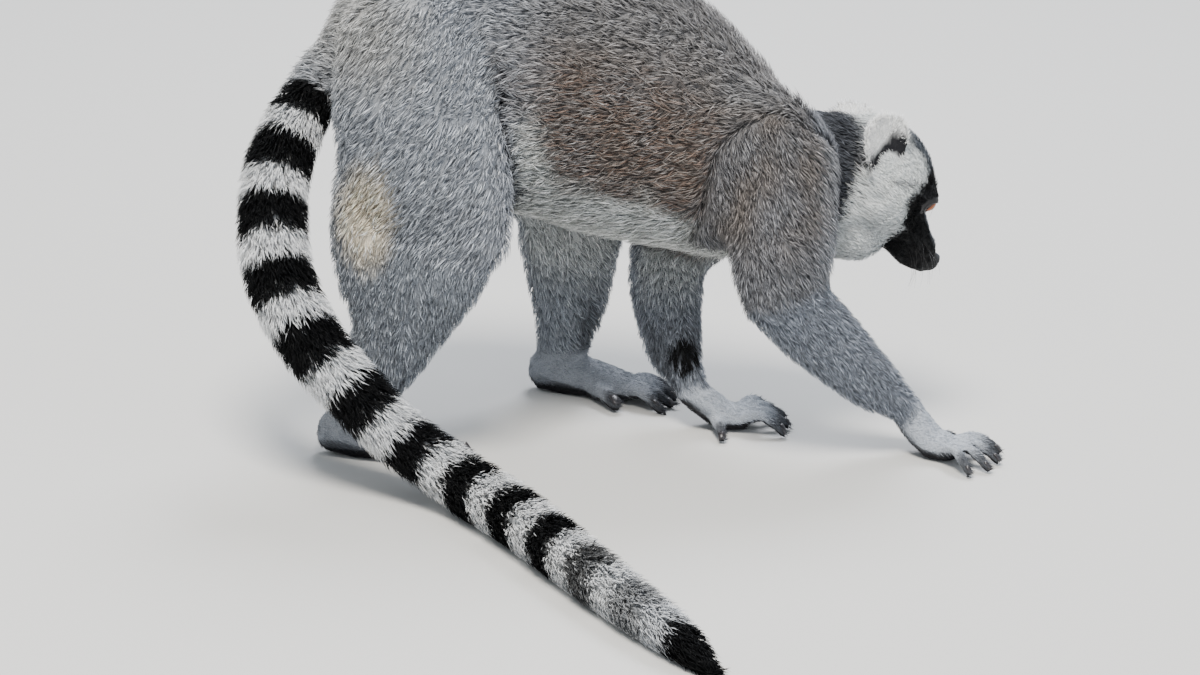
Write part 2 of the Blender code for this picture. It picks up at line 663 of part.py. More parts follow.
def main():
    for obj in list(bpy.data.objects):
        bpy.data.objects.remove(obj)
    collection = bpy.data.collections.new("ring_tailed_lemur")
    bpy.context.scene.collection.children.link(collection)
    frame = head_frame()

    body = whole_body(frame, collection)
    subtract(body, floor_plane(collection))
    for way in (-1, 1):
        socket = eye_ball(frame, way, EYE_RADIUS + SOCKET_GAP)
        subtract(body, as_object("eye_socket", socket, collection))
        subtract(body, as_object("ear_socket", ear(frame, way, SOCKET_GAP), collection))
    part_with_slabs(body, frame)
    parts = part_named(body, frame, collection)
    trunk = parts["trunk"]
    for side, way in (("right", -1), ("left", 1)):
        x, _, z = SHOULDER[side]
        region = limb_region(way, (x - 0.002, z), 0.040, ARM_FOOT[side], 0.040, (0.003, 0.20))
        name = f"upper_arm_{side}"
        parts[name] = take_out(trunk, region, name, collection)
        x, _, z = HIP[side]
        region = limb_region(way, (x, z), 0.047, THIGH_FOOT[side], 0.060, (0.005, 0.125))
        name = f"thigh_{side}"
        parts[name] = take_out(trunk, region, name, collection)
    slab(trunk, Vector((0.106, 0, 0.148)), Vector((1, 0, -0.10)), 0.070)
    neck, chest = sorted(loose_pieces(trunk)[:2], key=lambda piece: -max(v.co.x for v in piece.verts))
    bpy.data.objects.remove(trunk)
    parts["neck"] = as_object("neck", neck, collection)
    parts["trunk"] = as_object("trunk", chest, collection)
    for part in parts.values():
        tidy(part)

    for side, way in (("right", -1), ("left", 1)):
        parts[f"eye_{side}"] = as_object(f"eye_{side}", eye_ball(frame, way, EYE_RADIUS), collection)
        parts[f"ear_{side}"] = as_object(f"ear_{side}", ear(frame, way), collection)

    # Origin at the middle of the underside of the whole.
    corners = [v.co for part in parts.values() for v in part.data.vertices]
    low = Vector(min(c[i] for c in corners) for i in range(3))
    high = Vector(max(c[i] for c in corners) for i in range(3))
    shift = Vector((-(low.x + high.x) / 2, -(low.y + high.y) / 2, -low.z))
    looks = {
        "coat": material("Lemur_Coat_Grey_Fur", COAT, 0.9),
        "white": material("Lemur_Face_White_Fur", WHITE, 0.9),
        "black": material("Lemur_Dark_Skin", BLACK, 0.6),
        "iris": material("Lemur_Eye_Amber", AMBER, 0.1),
    }
    for name, part in parts.items():
        part.data.transform(Matrix.Translation(shift))
        kind = "coat"
        if name.startswith("eye"):
            kind = "iris"
        elif name in ("muzzle", "nose"):
            kind = "black"
        elif name.startswith(("head", "ear")):
            kind = "white"
        part.data.materials.clear()
        part.data.materials.append(looks[kind])


main()
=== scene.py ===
from math import cos, pi, radians, sin

import bmesh
import bpy
import numpy as np
from mathutils import Matrix, Vector
from mathutils.bvhtree import BVHTree
from mathutils.kdtree import KDTree


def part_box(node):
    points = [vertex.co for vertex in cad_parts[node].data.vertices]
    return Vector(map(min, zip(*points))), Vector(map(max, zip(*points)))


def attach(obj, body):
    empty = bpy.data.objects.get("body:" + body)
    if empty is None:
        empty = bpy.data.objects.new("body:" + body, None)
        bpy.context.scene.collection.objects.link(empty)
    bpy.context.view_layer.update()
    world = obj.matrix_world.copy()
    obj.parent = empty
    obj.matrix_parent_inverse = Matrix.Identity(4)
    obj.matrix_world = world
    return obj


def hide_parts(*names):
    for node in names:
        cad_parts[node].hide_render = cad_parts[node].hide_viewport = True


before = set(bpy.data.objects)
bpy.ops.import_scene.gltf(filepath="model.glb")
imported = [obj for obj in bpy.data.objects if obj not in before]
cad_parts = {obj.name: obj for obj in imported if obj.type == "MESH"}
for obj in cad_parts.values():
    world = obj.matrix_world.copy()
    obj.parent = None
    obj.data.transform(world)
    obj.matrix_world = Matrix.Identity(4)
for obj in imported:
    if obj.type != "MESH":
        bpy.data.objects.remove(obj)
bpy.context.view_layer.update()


# ---------------------------------------------------------------- the studio
# A pale seamless floor under big soft lamps, as a museum photographs a mounted animal, with the
# eye of the camera a little above the animal's back and well away, so that nothing is stretched.
def linear(code):
    """A colour written as sRGB hex, in linear light."""
    parts = [int(code[i : i + 2], 16) / 255 for i in (0, 2, 4)]
    return tuple(p / 12.92 if p <= 0.04045 else ((p + 0.055) / 1.055) ** 2.4 for p in parts)


def new_material(name, **sockets):
    """A Principled material; returns it with its tree and its shader."""
    made = bpy.data.materials.new(name)
    made.use_nodes = True
    shader = made.node_tree.nodes["Principled BSDF"]
    for key, value in sockets.items():
        shader.inputs[key.replace("_", " ")].default_value = value
    return made, made.node_tree, shader


VIEW_TURN, VIEW_RISE, VIEW_ROLL = radians(-5), radians(18), radians(3)
VIEW_DISTANCE, LENS = 2.4, 128.57
LOOK_AT = Vector((-0.0108, 0.1464, 0.0525))
back = Vector((sin(VIEW_TURN) * cos(VIEW_RISE), -cos(VIEW_TURN) * cos(VIEW_RISE), sin(VIEW_RISE)))
level = Vector((cos(VIEW_TURN), sin(VIEW_TURN), 0))
upright = back.cross(level)
across = level * cos(VIEW_ROLL) + upright * sin(VIEW_ROLL)
above = upright * cos(VIEW_ROLL) - level * sin(VIEW_ROLL)
camera = bpy.data.objects.new("camera", bpy.data.cameras.new("camera"))
camera.data.lens, camera.data.sensor_width = LENS, 36
camera.data.clip_end = 60
camera.matrix_world = Matrix.Translation(LOOK_AT + back * VIEW_DISTANCE) @ Matrix(
    (across, above, back)
).transposed().to_4x4()
bpy.context.scene.collection.objects.link(camera)
bpy.context.scene.camera = camera

FLOOR_SIZE = 40
shape = bmesh.new()
bmesh.ops.create_grid(shape, x_segments=1, y_segments=1, size=FLOOR_SIZE / 2)
floor = bpy.data.objects.new("floor", bpy.data.meshes.new("floor"))
shape.to_mesh(floor.data)
shape.free()
bpy.context.scene.collection.objects.link(floor)
# Matt paper, the same dull pale grey all over, as a photographer's backdrop is.
paper, _, _ = new_material("Matt_Paper_Backdrop", Base_Color=(*linear("D3D2CF"), 1), Roughness=0.95)
floor.data.materials.append(paper)

world = bpy.data.worlds.new("studio")
world.use_nodes = True
world.node_tree.nodes["Background"].inputs["Color"].default_value = (*linear("E2EAF2"), 1)
world.node_tree.nodes["Background"].inputs["Strength"].default_value = 0.80
bpy.context.scene.world = world
LAMPS = (
    ("key", (-0.3, -0.9, 2.3), 0.9, 92, "FFFAF2"),
    ("fill", (1.6, -1.6, 0.9), 1.6, 14, "EAF1FF"),
    ("rim", (0.4, 1.5, 1.9), 1.0, 52, "F4F7FF"),
)
for name, place, size, power, colour in LAMPS:
    lamp = bpy.data.lights.new(name, "AREA")
    lamp.shape, lamp.size, lamp.energy, lamp.color = "DISK", size, power, linear(colour)
    holder = bpy.data.objects.new(name, lamp)
    holder.location = place
    holder.rotation_euler = (Vector((0, 0, 0.1)) - Vector(place)).to_track_quat("-Z", "Y").to_euler()
    bpy.context.scene.collection.objects.link(holder)


# ---------------------------------------------------------------- the body's plan
# Where the head, the digits and the tail lie and which way their hair grows, measured on the solids.
# The eyes fix the head: it points down and a little to the animal's left as it looks at the ground.
HEAD_DOWN, HEAD_LEFT = radians(52), radians(15)
EYE_FORWARD, EYE_ABOVE = 0.0212, 0.0062
SIDES = (("right", -1), ("left", 1))
SHAPES = {name: np.array([v.co for v in obj.data.vertices]) for name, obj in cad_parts.items()}
MIDDLES = {name: points.mean(0) for name, points in SHAPES.items()}
EYES = {side: sum(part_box(f"eye_{side}"), Vector()) / 2 for side, _ in SIDES}
EYE_RADIUS = (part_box("eye_right")[1].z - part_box("eye_right")[0].z) / 2

head_f = Vector((cos(HEAD_DOWN) * cos(HEAD_LEFT), cos(HEAD_DOWN) * sin(HEAD_LEFT), -sin(HEAD_DOWN)))
head_s = Vector((-sin(HEAD_LEFT), cos(HEAD_LEFT), 0))
head_u = head_f.cross(head_s)
HEAD_AXES = np.array((head_f, head_s, head_u))
HEAD_MIDDLE = np.array((EYES["right"] + EYES["left"]) / 2 - head_f * EYE_FORWARD - head_u * EYE_ABOVE)


def in_head(points):
    """Points as forward, left and up from the middle of the skull."""
    return (np.asarray(points) - HEAD_MIDDLE) @ HEAD_AXES.T


def from_head(forward, left, up):
    """A place given from the middle of the skull, in the room."""
    return Vector(HEAD_MIDDLE + np.array((forward, left, up)) @ HEAD_AXES)


def unit(rows):
    """Each row at length one."""
    return rows / np.maximum(np.linalg.norm(rows, axis=-1, keepdims=True), 1e-9)


def soft_step(low, high, value):
    """0 below low, 1 above high, and smooth between; low may be the larger."""
    t = np.clip((value - low) / (high - low), 0, 1)
    return t * t * (3 - 2 * t)


# The ears' root, the way each one rises and faces, along the head's axes, and the bare skin of its
# hollow: rounded bands, each from one spot (towards the brow, towards the tip) to another, with radii.
EAR_ROOT = np.array((-0.0150, 0.0215, -0.0050))
EAR_RISE = {"right": (-0.84, -0.15, 0.50), "left": (-0.36, 0.76, 0.46)}
EAR_FACES = {"right": (0.40, -0.92, 0.0), "left": (0.80, 0.40, 0.0)}
HOLLOW_BANDS = (
    ((0.0015, 0.0060), (0.0085, 0.0130), 0.0054, 0.0064),
    ((0.0015, 0.0055), (-0.0095, 0.0068), 0.0050, 0.0038),
    ((0.0015, 0.0050), (0.0018, -0.0025), 0.0048, 0.0040),
)


def ear_hollow(places, outwards, wider=0.0):
    """1 on the bare dark skin in the hollow of an ear; both are given along the head's axes."""
    bare = np.zeros(len(places))
    for side, way in SIDES:
        rise = unit(np.array(EAR_RISE[side]))
        faces = np.array(EAR_FACES[side])
        faces = unit(faces - rise * (rise @ faces))
        step = places - EAR_ROOT * (1, way, 1)
        spot = np.stack((step @ np.cross(rise, faces) * -way, step @ rise), 1)
        front = soft_step(-0.10, 0.30, outwards @ faces) * (np.linalg.norm(step, axis=1) < 0.036)
        for start, end, radius, end_radius in HOLLOW_BANDS:
            band = np.array(end) - np.array(start)
            t = np.clip((spot - start) @ band / (band @ band), 0, 1)
            gap = np.linalg.norm(spot - start - t[:, None] * band, axis=1)
            edge = radius + (end_radius - radius) * t + wider
            bare = np.maximum(bare, front * soft_step(edge + 0.0007, edge - 0.0007, gap))
    return bare


TAIL = [f"tail_{i}" for i in range(1, 7)]


def meeting(name, other):
    """The middle of the face where two neighbouring solids touch."""
    near = KDTree(len(SHAPES[other]))
    for i, point in enumerate(SHAPES[other]):
        near.insert(point, i)
    near.balance()
    touching = [p for p in SHAPES[name] if near.find(p)[2] < 0.0015]
    return np.mean(touching, axis=0)


tail_stops = [meeting("tail_1", "trunk")]
for name, following in zip(TAIL, TAIL[1:]):
    tail_stops += [MIDDLES[name], meeting(name, following)]
tip_run = np.linalg.norm(SHAPES["tail_6"] - tail_stops[-1], axis=1)
tail_stops += [MIDDLES["tail_6"], SHAPES["tail_6"][tip_run.argmax()]]
TAIL_STEPS = 240


def resampled(points, count):
    """The same line with its points evenly spaced."""
    gaps = np.linalg.norm(np.diff(points, axis=0), axis=1)
    run = np.concatenate(([0], np.cumsum(gaps)))
    at = np.linspace(0, run[-1], count)
    return np.stack([np.interp(at, run, points[:, i]) for i in range(3)], 1), run[-1]


def nearest_on(line, points):
    """For each point, the index of the nearest place on a line of points."""
    best = np.zeros(len(points), int)
    for start in range(0, len(points), 20000):
        part = points[start : start + 20000]
        gaps = ((part[:, None, :] - line[None, :, :]) ** 2).sum(2)
        best[start : start + 20000] = gaps.argmin(1)
    return best


# ---------------------------------------------------------------- the skin
# One hide over the whole animal: the solids melted together, softened, and drawn in by the depth
# of the coat, so that the hair has room to lie between the hide and the outline.
GRAIN = 0.0012
OVERLAP = 0.00035
# For each part: coat depth, hair length and hair width in mm, hairs to a square mm, and the two
# parts from and to which the hair runs.
COAT = {
    "trunk": (5.8, 11.5, 0.70, 0.48, "neck", "tail_1"),
    "neck": (4.6, 10.0, 0.66, 0.95, "head", "trunk"),
    "head": (2.0, 5.6, 0.46, 1.10, "muzzle", "neck"),
    "muzzle": (0.8, 2.8, 0.34, 1.9, "nose", "head"),
    "ear": (0.7, 5.5, 0.42, 1.6, "head", "ear"),
    "upper_arm": (4.4, 9.5, 0.66, 0.66, "upper_arm", "forearm"),
    "forearm": (3.0, 7.0, 0.58, 0.76, "upper_arm", "hand"),
    "hand": (0.8, 3.6, 0.36, 0.70, "forearm", "hand"),
    "thigh": (5.0, 10.0, 0.66, 0.44, "trunk", "shin"),
    "shin": (3.6, 8.0, 0.60, 0.50, "thigh", "foot"),
    "foot": (0.9, 4.0, 0.40, 0.60, "shin", "foot"),
    "tail": (6.5, 11.0, 0.74, 0.80, "", ""),
}
FLESH = [name for name in sorted(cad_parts) if not name.startswith("eye")]


def kind_of(name):
    """The row of the coat's table that a solid takes."""
    for kind in COAT:
        if name.startswith(kind):
            return kind
    return "muzzle"


melted = bmesh.new()
owners, triangles, corners = [], [], []
for index, name in enumerate(FLESH):
    piece = bmesh.new()
    piece.from_mesh(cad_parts[name].data)
    bmesh.ops.remove_doubles(piece, verts=piece.verts, dist=1e-6)
    bmesh.ops.recalc_face_normals(piece, faces=piece.faces)
    piece.normal_update()
    for vert in piece.verts:
        vert.co += vert.normal * OVERLAP
    start = len(corners)
    corners += [vert.co.copy() for vert in piece.verts]
    piece.verts.index_update()
    for face in piece.faces:
        triangles.append([start + vert.index for vert in face.verts])
        owners.append(index)
    solid = bpy.data.meshes.new("solid")
    piece.to_mesh(solid)
    piece.free()
    melted.from_mesh(solid)
    bpy.data.meshes.remove(solid)
nearby = BVHTree.FromPolygons(corners, triangles)

raw = bpy.data.objects.new("raw", bpy.data.meshes.new("raw"))
melted.to_mesh(raw.data)
melted.free()
bpy.context.scene.collection.objects.link(raw)
melt = raw.modifiers.new("melt", "REMESH")
melt.mode, melt.voxel_size = "VOXEL", GRAIN
bpy.context.view_layer.update()
hide = bpy.data.meshes.new_from_object(raw.evaluated_get(bpy.context.evaluated_depsgraph_get()))
bpy.data.objects.remove(raw)


def numbers(items, key, width, kind):
    """A mesh's numbers as an array, one row for each item."""
    values = np.empty(len(items) * width, kind)
    items.foreach_get(key, values)
    return values.reshape(-1, width) if width > 1 else values


co = numbers(hide.vertices, "co", 3, np.float32).astype(float)
edges = numbers(hide.edges, "vertices", 2, np.int32)
quads = numbers(hide.loops, "vertex_index", 1, np.int32).reshape(-1, 4)
count = len(co)
links = np.bincount(edges.ravel(), minlength=count)[:, None]


def spread(values, rounds, share=0.5):
    """Averages values at the hide's corners with their neighbours', again and again."""
    values = values.copy()
    for _ in range(rounds):
        total = np.empty_like(values)
        for k in range(values.shape[1]):
            column = values[:, k]
            total[:, k] = np.bincount(edges[:, 0], column[edges[:, 1]], count)
            total[:, k] += np.bincount(edges[:, 1], column[edges[:, 0]], count)
        values += share * (total / links - values)
    return values


def normals_of(points):
    """Outward normals at the hide's corners."""
    a, b, c, d = (points[quads[:, k]] for k in range(4))
    flat = np.cross(c - a, d - b)
    total = np.zeros((count, 3))
    for k in range(4):
        for axis in range(3):
            total[:, axis] += np.bincount(quads[:, k], flat[:, axis], count)
    return unit(total)


owner = np.empty(count, int)
for i, point in enumerate(co):
    owner[i] = owners[nearby.find_nearest(point)[2]]
kinds = [kind_of(name) for name in FLESH]
DETAILED = ("head", "muzzle", "ear", "hand", "foot")
fine = np.isin(owner, [i for i, kind in enumerate(kinds) if kind in DETAILED])
softened = spread(co, 16)
softened_fine = spread(co, 3)
share = spread(fine.astype(float)[:, None], 10)
co = softened * (1 - share) + softened_fine * share
normal = normals_of(co)

tail_line, tail_length = resampled(np.array(tail_stops), TAIL_STEPS)
for _ in range(60):
    tail_line[1:-1] = 0.5 * tail_line[1:-1] + 0.25 * (tail_line[:-2] + tail_line[2:])
tail_line, tail_length = resampled(tail_line, TAIL_STEPS)
tail_way = unit(np.gradient(tail_line, axis=0))

# The coat's settings at every corner of the hide, eased from part to part.
DEPTH, LENGTH, WIDTH, THICKNESS = 3, 4, 5, 6
style = np.zeros((count, 7))
for index, name in enumerate(FLESH):
    here = owner == index
    kind = kinds[index]
    depth, length, width, thickness, source, target = COAT[kind]
    side = name.rpartition("_")[2]
    if kind == "tail":
        slot = nearest_on(tail_line, co[here])
        style[here, :3] = tail_way[slot]
        reach = np.linalg.norm(co[here] - tail_line[slot], axis=1)
        style[here, DEPTH] = np.minimum(depth / 1000, 0.45 * reach)
    else:
        ends = []
        for end in (source, target):
            ends.append(MIDDLES[end if end in MIDDLES else f"{end}_{side}"])
        style[here, :3] = unit(ends[1] - ends[0])
        style[here, DEPTH] = depth / 1000
    if kind == "hand":
        heading = unit(MIDDLES[name] - MIDDLES[f"forearm_{side}"])
        style[here, :3] = unit(heading * (1, 1, 0.1))
    if kind == "foot":
        heading = SHAPES[name][np.linalg.norm(SHAPES[name] - MIDDLES[f"shin_{side}"], axis=1).argmax()]
        style[here, :3] = unit((heading - MIDDLES[name]) * (1, 1, 0))
    style[here, LENGTH] = length / 1000
    style[here, WIDTH] = width / 1000
    style[here, THICKNESS] = thickness
style = spread(style, 45)
places = in_head(co)
cheeks = np.isin(owner, [FLESH.index("head")]) * soft_step(0.012, 0.017, np.abs(places[:, 1]))
cheeks *= soft_step(0.004, -0.006, places[:, 2]) * soft_step(0.022, 0.008, places[:, 0])
style[:, LENGTH] += 0.0040 * cheeks
# The hair of the ears streams out from the hollow, so that it fringes the rim and leaves it bare.
for side, way in SIDES:
    here = owner == FLESH.index(f"ear_{side}")
    rise = unit(np.array(EAR_RISE[side]))
    hollow_middle = EAR_ROOT * (1, way, 1) + rise * 0.009
    style[here, :3] = unit(places[here] - hollow_middle + rise * 0.004) @ HEAD_AXES
# Round the hollow it is shorter, so that nothing hangs into it.
near_hollow = ear_hollow(places, normal @ HEAD_AXES.T, 0.0022) * (places[:, 0] < 0.005)
near_hollow *= owner != FLESH.index("neck")
style[:, LENGTH] *= 1 - 0.55 * near_hollow
style[:, :3] -= normal * (style[:, :3] * normal).sum(1)[:, None]
style[:, :3] = unit(style[:, :3])

# The creases between limbs and trunk lie deeper, and the hair of the belly is longer.
in_trunk = spread((owner == FLESH.index("trunk")).astype(float)[:, None], 6)[:, 0]
in_limb = np.isin(owner, [i for i, kind in enumerate(kinds) if kind in ("thigh", "upper_arm")])
in_limb = spread(in_limb.astype(float)[:, None], 6)[:, 0]
crease = 4 * in_trunk * in_limb * soft_step(0.245, 0.205, co[:, 2])
style[:, DEPTH] += 0.0035 * crease
style[:, LENGTH] += 0.0040 * in_trunk * soft_step(-0.35, -0.75, normal[:, 2])

# The skin is bare at the eyes and in the ears, and the coat is thin where it stands on the floor.
eye_gap = np.min([np.linalg.norm(co - np.array(place), axis=1) for place in EYES.values()], axis=0)
bare_eye = soft_step(EYE_RADIUS + 0.0030, EYE_RADIUS + 0.0012, eye_gap)
style[:, DEPTH] *= 1 - bare_eye
bare = np.maximum(bare_eye, ear_hollow(places, normal @ HEAD_AXES.T) * np.isin(
    owner, [FLESH.index("ear_left"), FLESH.index("ear_right")]
))
on_floor = soft_step(0.0035, 0.0015, co[:, 2]) * soft_step(-0.6, -0.9, normal[:, 2])
style[:, DEPTH] *= 1 - 0.9 * on_floor
hide_co = co - normal * (style[:, DEPTH] + OVERLAP)[:, None]


# ---------------------------------------------------------------- the markings
# The pattern every ring-tailed lemur wears, drawn the same on hide and hair: grey-brown back, fawn
# flank, pale belly, slate neck, white face with black eye patches and muzzle, and a ringed tail.
# Painted shade darkens the folds by the limbs, the underside of the neck and the inner limbs low down.
GROUND = {
    "trunk": "8B8A8B", "neck": "7E8188", "head": "E6EAEA", "muzzle": "17191D", "ear": "F8F8F6",
    "upper_arm": "87888C", "forearm": "9096A0", "hand": "C3C9D2", "thigh": "ADB2BA",
    "shin": "9CA2AA", "foot": "A5AAB2", "tail": "F3F5F7",
}
BACK, FAWN, RUST, BELLY = (linear(code) for code in ("858485", "837A73", "6E5648", "E4E7E4"))
HAUNCH, RUMP, CREAM, SLATE = (linear(code) for code in ("ADB2BA", "CBC9C4", "FBEFD9", "1F232A"))
CROWN, BLACK, DARK_SKIN = (linear(code) for code in ("50555C", "08090B", "1E1E23"))
ground = np.zeros((count, 3))
for index, kind in enumerate(kinds):
    ground[owner == index] = linear(GROUND[kind])
member = np.stack(
    [np.isin(owner, [i for i, k in enumerate(kinds) if k in group]).astype(float)
     for group in (("trunk",), ("head", "muzzle"), ("tail",), ("upper_arm", "forearm", "thigh", "shin"),
                   ("neck",), ("ear",), ("hand",), ("foot",))], 1)
fields = np.concatenate((spread(ground, 14), spread(member, 8)), 1)
IN_TRUNK, IN_HEAD, IN_TAIL, IN_LIMB, IN_NECK, IN_EAR, IN_HAND, IN_FOOT = range(3, 11)


def mix(base, colour, amount):
    """Rows of colour, each drawn towards another colour by its own amount."""
    return base + (np.array(colour) - base) * np.clip(amount, 0, 1)[:, None]


# The animal's middle plane, and the pale patch behind each thigh: how far along, out and up.
MIDLINE = 0.1464
RUMP_PATCH = np.array((-0.146, 0.074, 0.141))
# Where the grey of the haunch gives way to the brown of the flank.
HAUNCH_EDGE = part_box("thigh_right")[1].x - 0.004
# The dark scent gland on the inside of each forearm, a little above the wrist.
GLANDS = []
for side, way in SIDES:
    arm = SHAPES[f"forearm_{side}"]
    wrist = arm[arm[:, 2] < arm[:, 2].min() + 0.006].mean(0)
    GLANDS.append(wrist + 0.55 * (MIDDLES[f"forearm_{side}"] - wrist) - np.array((0, way * 0.012, 0)))

# The tips of the fingers and toes, where the hair gives way to dark skin: the place of each, the way
# it points, the width of its nail, and how much longer the nail of the second toe is.
WRISTS = {"right": (0.1612, 0.1174), "left": (0.0447, 0.1494)}
ANKLES = {"right": (-0.1518, 0.0904), "left": (-0.0293, 0.2064)}
WRIST_HEIGHT, ANKLE_HEIGHT = 0.0092, 0.0119
HAND_HEADING = {"right": radians(-28), "left": radians(2)}
FOOT_HEADING = {"right": radians(-12), "left": radians(-15)}
THUMB_TURN = {"right": radians(62), "left": radians(88)}
TOE_TURN = {"right": radians(-8), "left": radians(-14)}
GREAT_TOE_TURN = radians(48)
FINGERS, THUMB = (0.025, 0.028, 0.029, 0.026), 0.0205
TOES, GREAT_TOE = (0.029, 0.031, 0.030, 0.026), 0.027
CLAW_EXTRA = 0.0035


def heading(turn):
    """The level direction at this turn from +X."""
    return np.array((cos(turn), sin(turn), 0))


tips = []
for side, way in SIDES:
    inner = -way
    ahead = heading(HAND_HEADING[side])
    inward = np.array((-ahead[1], ahead[0], 0)) * inner
    palm = np.array((*WRISTS[side], WRIST_HEIGHT)) + ahead * 0.014
    for i, length in enumerate(FINGERS):
        root = palm + ahead * 0.012 + inward * (0.0095 - 0.0062 * i)
        aim = heading(HAND_HEADING[side] + radians(20 - 19 * i) * inner)
        tips.append((root + aim * length, aim, 0.0042 - 0.0003 * i, 0.0))
    aim = heading(HAND_HEADING[side] + THUMB_TURN[side] * inner)
    tips.append((palm - ahead * 0.002 + inward * 0.008 + aim * THUMB, aim, 0.0042, 0.0))
    ahead = heading(FOOT_HEADING[side])
    inward = np.array((-ahead[1], ahead[0], 0)) * inner
    heel = np.array((*ANKLES[side], ANKLE_HEIGHT)) - ahead * 0.008
    ball = heel + ahead * 0.049
    for i, length in enumerate(TOES):
        root = ball + inward * (0.0092 - 0.0066 * i) - ahead * 0.002
        aim = heading(FOOT_HEADING[side] + TOE_TURN[side] + radians(10 - 12 * i) * inner)
        tips.append((root + aim * length, aim, 0.0046 - 0.0003 * i, CLAW_EXTRA if i == 0 else 0.0))
    aim = heading(FOOT_HEADING[side] + GREAT_TOE_TURN * inner)
    tips.append((heel + ahead * 0.030 + inward * 0.007 + aim * GREAT_TOE, aim, 0.0056, 0.0))


WAVES = np.random.default_rng(3).normal(0, 1, (24, 3))


def mottle(points, size):
    """A soft patchy pattern about 0, its patches about this far across."""
    turns = points @ WAVES.T * (2.2 / size) + np.arange(24) * 1.7
    return np.cos(turns).sum(1) / 24**0.5


def body_marks(colour, points, normals, values, ragged):
    """Back, flank, belly, haunch and limbs."""
    trunk, limb = values[:, IN_TRUNK], values[:, IN_LIMB]
    x, y, z = points.T
    down = -normals[:, 2]
    patch = mottle(points, 0.022)
    # Grey-brown above, fawn and rust on the flank, white below and further up before the haunch.
    colour = mix(colour, BACK, trunk * soft_step(0.1, -0.5, down) * 0.6)
    colour = mix(colour, FAWN, trunk * soft_step(-0.62, -0.12, down) * (0.55 + 0.25 * patch))
    rusty = np.clip(0.25 + ragged / 0.0018, 0, 0.75)
    colour = mix(colour, RUST, trunk * soft_step(-0.45, -0.05, down) * rusty)
    climb = 0.38 * soft_step(-0.032, -0.056, x)
    colour = mix(colour, BELLY, trunk * soft_step(0.32, 0.58, down + climb + 0.05 * patch))
    # The blue-grey haunch, its edge softer towards the spine, and the paler rump over the tail.
    ease = 0.006 + 0.028 * soft_step(0.165, 0.225, z)
    colour = mix(colour, HAUNCH, trunk * soft_step(HAUNCH_EDGE + ease, HAUNCH_EDGE - ease, x) * 0.85)
    before = soft_step(HAUNCH_EDGE - ease, HAUNCH_EDGE + ease * 0.2, x) * (z > 0.17)
    colour = mix(colour, BACK, limb * before * 0.6)
    rump = soft_step(-0.10, -0.150, x) * soft_step(0.19, 0.235, z)
    colour = mix(colour, RUMP, (trunk + limb) * rump * 0.7)
    # The limbs are pale inside, and inside the wrist and ankle they carry painted shade.
    inward = -np.sign(y - MIDLINE) * normals[:, 1]
    colour = mix(colour, BELLY, limb * soft_step(0.3, 0.8, inward) * soft_step(0.06, 0.10, z) * 0.55)
    low = soft_step(0.075, 0.045, z) * (x > -0.02)
    colour = mix(colour, SLATE, limb * soft_step(0.2, 0.7, inward) * low * 0.6)
    mirrored = np.stack((x, np.abs(y - MIDLINE), z), 1)
    gap = np.linalg.norm((mirrored - RUMP_PATCH) * (1.0, 0.5, 0.55), axis=1)
    colour = mix(colour, CREAM, (trunk + limb) * soft_step(0.021, 0.009, gap))
    for gland in GLANDS:
        gap = np.linalg.norm((points - gland) * (1, 1, 0.8), axis=1) + ragged
        colour = mix(colour, BLACK, limb * soft_step(0.0100, 0.0080, gap))
    # Painted shade in the folds where the limbs meet the trunk, fawn on the shoulder, pale on the chest.
    fold = 4 * trunk * limb * soft_step(0.240, 0.205, z)
    colour = mix(colour, SLATE, fold * (0.75 * (np.abs(x - HAUNCH_EDGE) < 0.03) + 0.25))
    shoulder = limb * soft_step(0.02, 0.06, x) * soft_step(0.105, 0.150, z)
    colour = mix(colour, FAWN, shoulder * (0.45 + 0.35 * patch))
    chest = limb * soft_step(0.2, 0.8, normals[:, 0]) * soft_step(0.06, 0.09, x)
    return mix(colour, HAUNCH, chest * soft_step(0.10, 0.13, z) * 0.6)


def neck_marks(colour, points, normals, values):
    """The slate collar, darkest behind the face, fading over the shoulders; under the throat it is darker
    and wider, as painted shade.
    """
    forward = (points - MIDDLES["neck"]) @ unit(HEAD_MIDDLE - MIDDLES["neck"])
    # Where the neck faces down the collar is widened and darkened: painted shade under the throat.
    below = soft_step(0.5, -0.5, normals[:, 2])
    collar = values[:, IN_NECK] * soft_step(-0.014, 0.008, forward + 0.008 * below)
    nape = values[:, IN_TRUNK] * soft_step(-0.034, -0.014, forward) * 0.45
    nape += values[:, IN_LIMB] * soft_step(-0.014, -0.004, forward) * 0.8
    nape *= soft_step(0.115, 0.140, points[:, 2])
    return mix(colour, SLATE, collar * (0.72 + 0.25 * below) + nape)


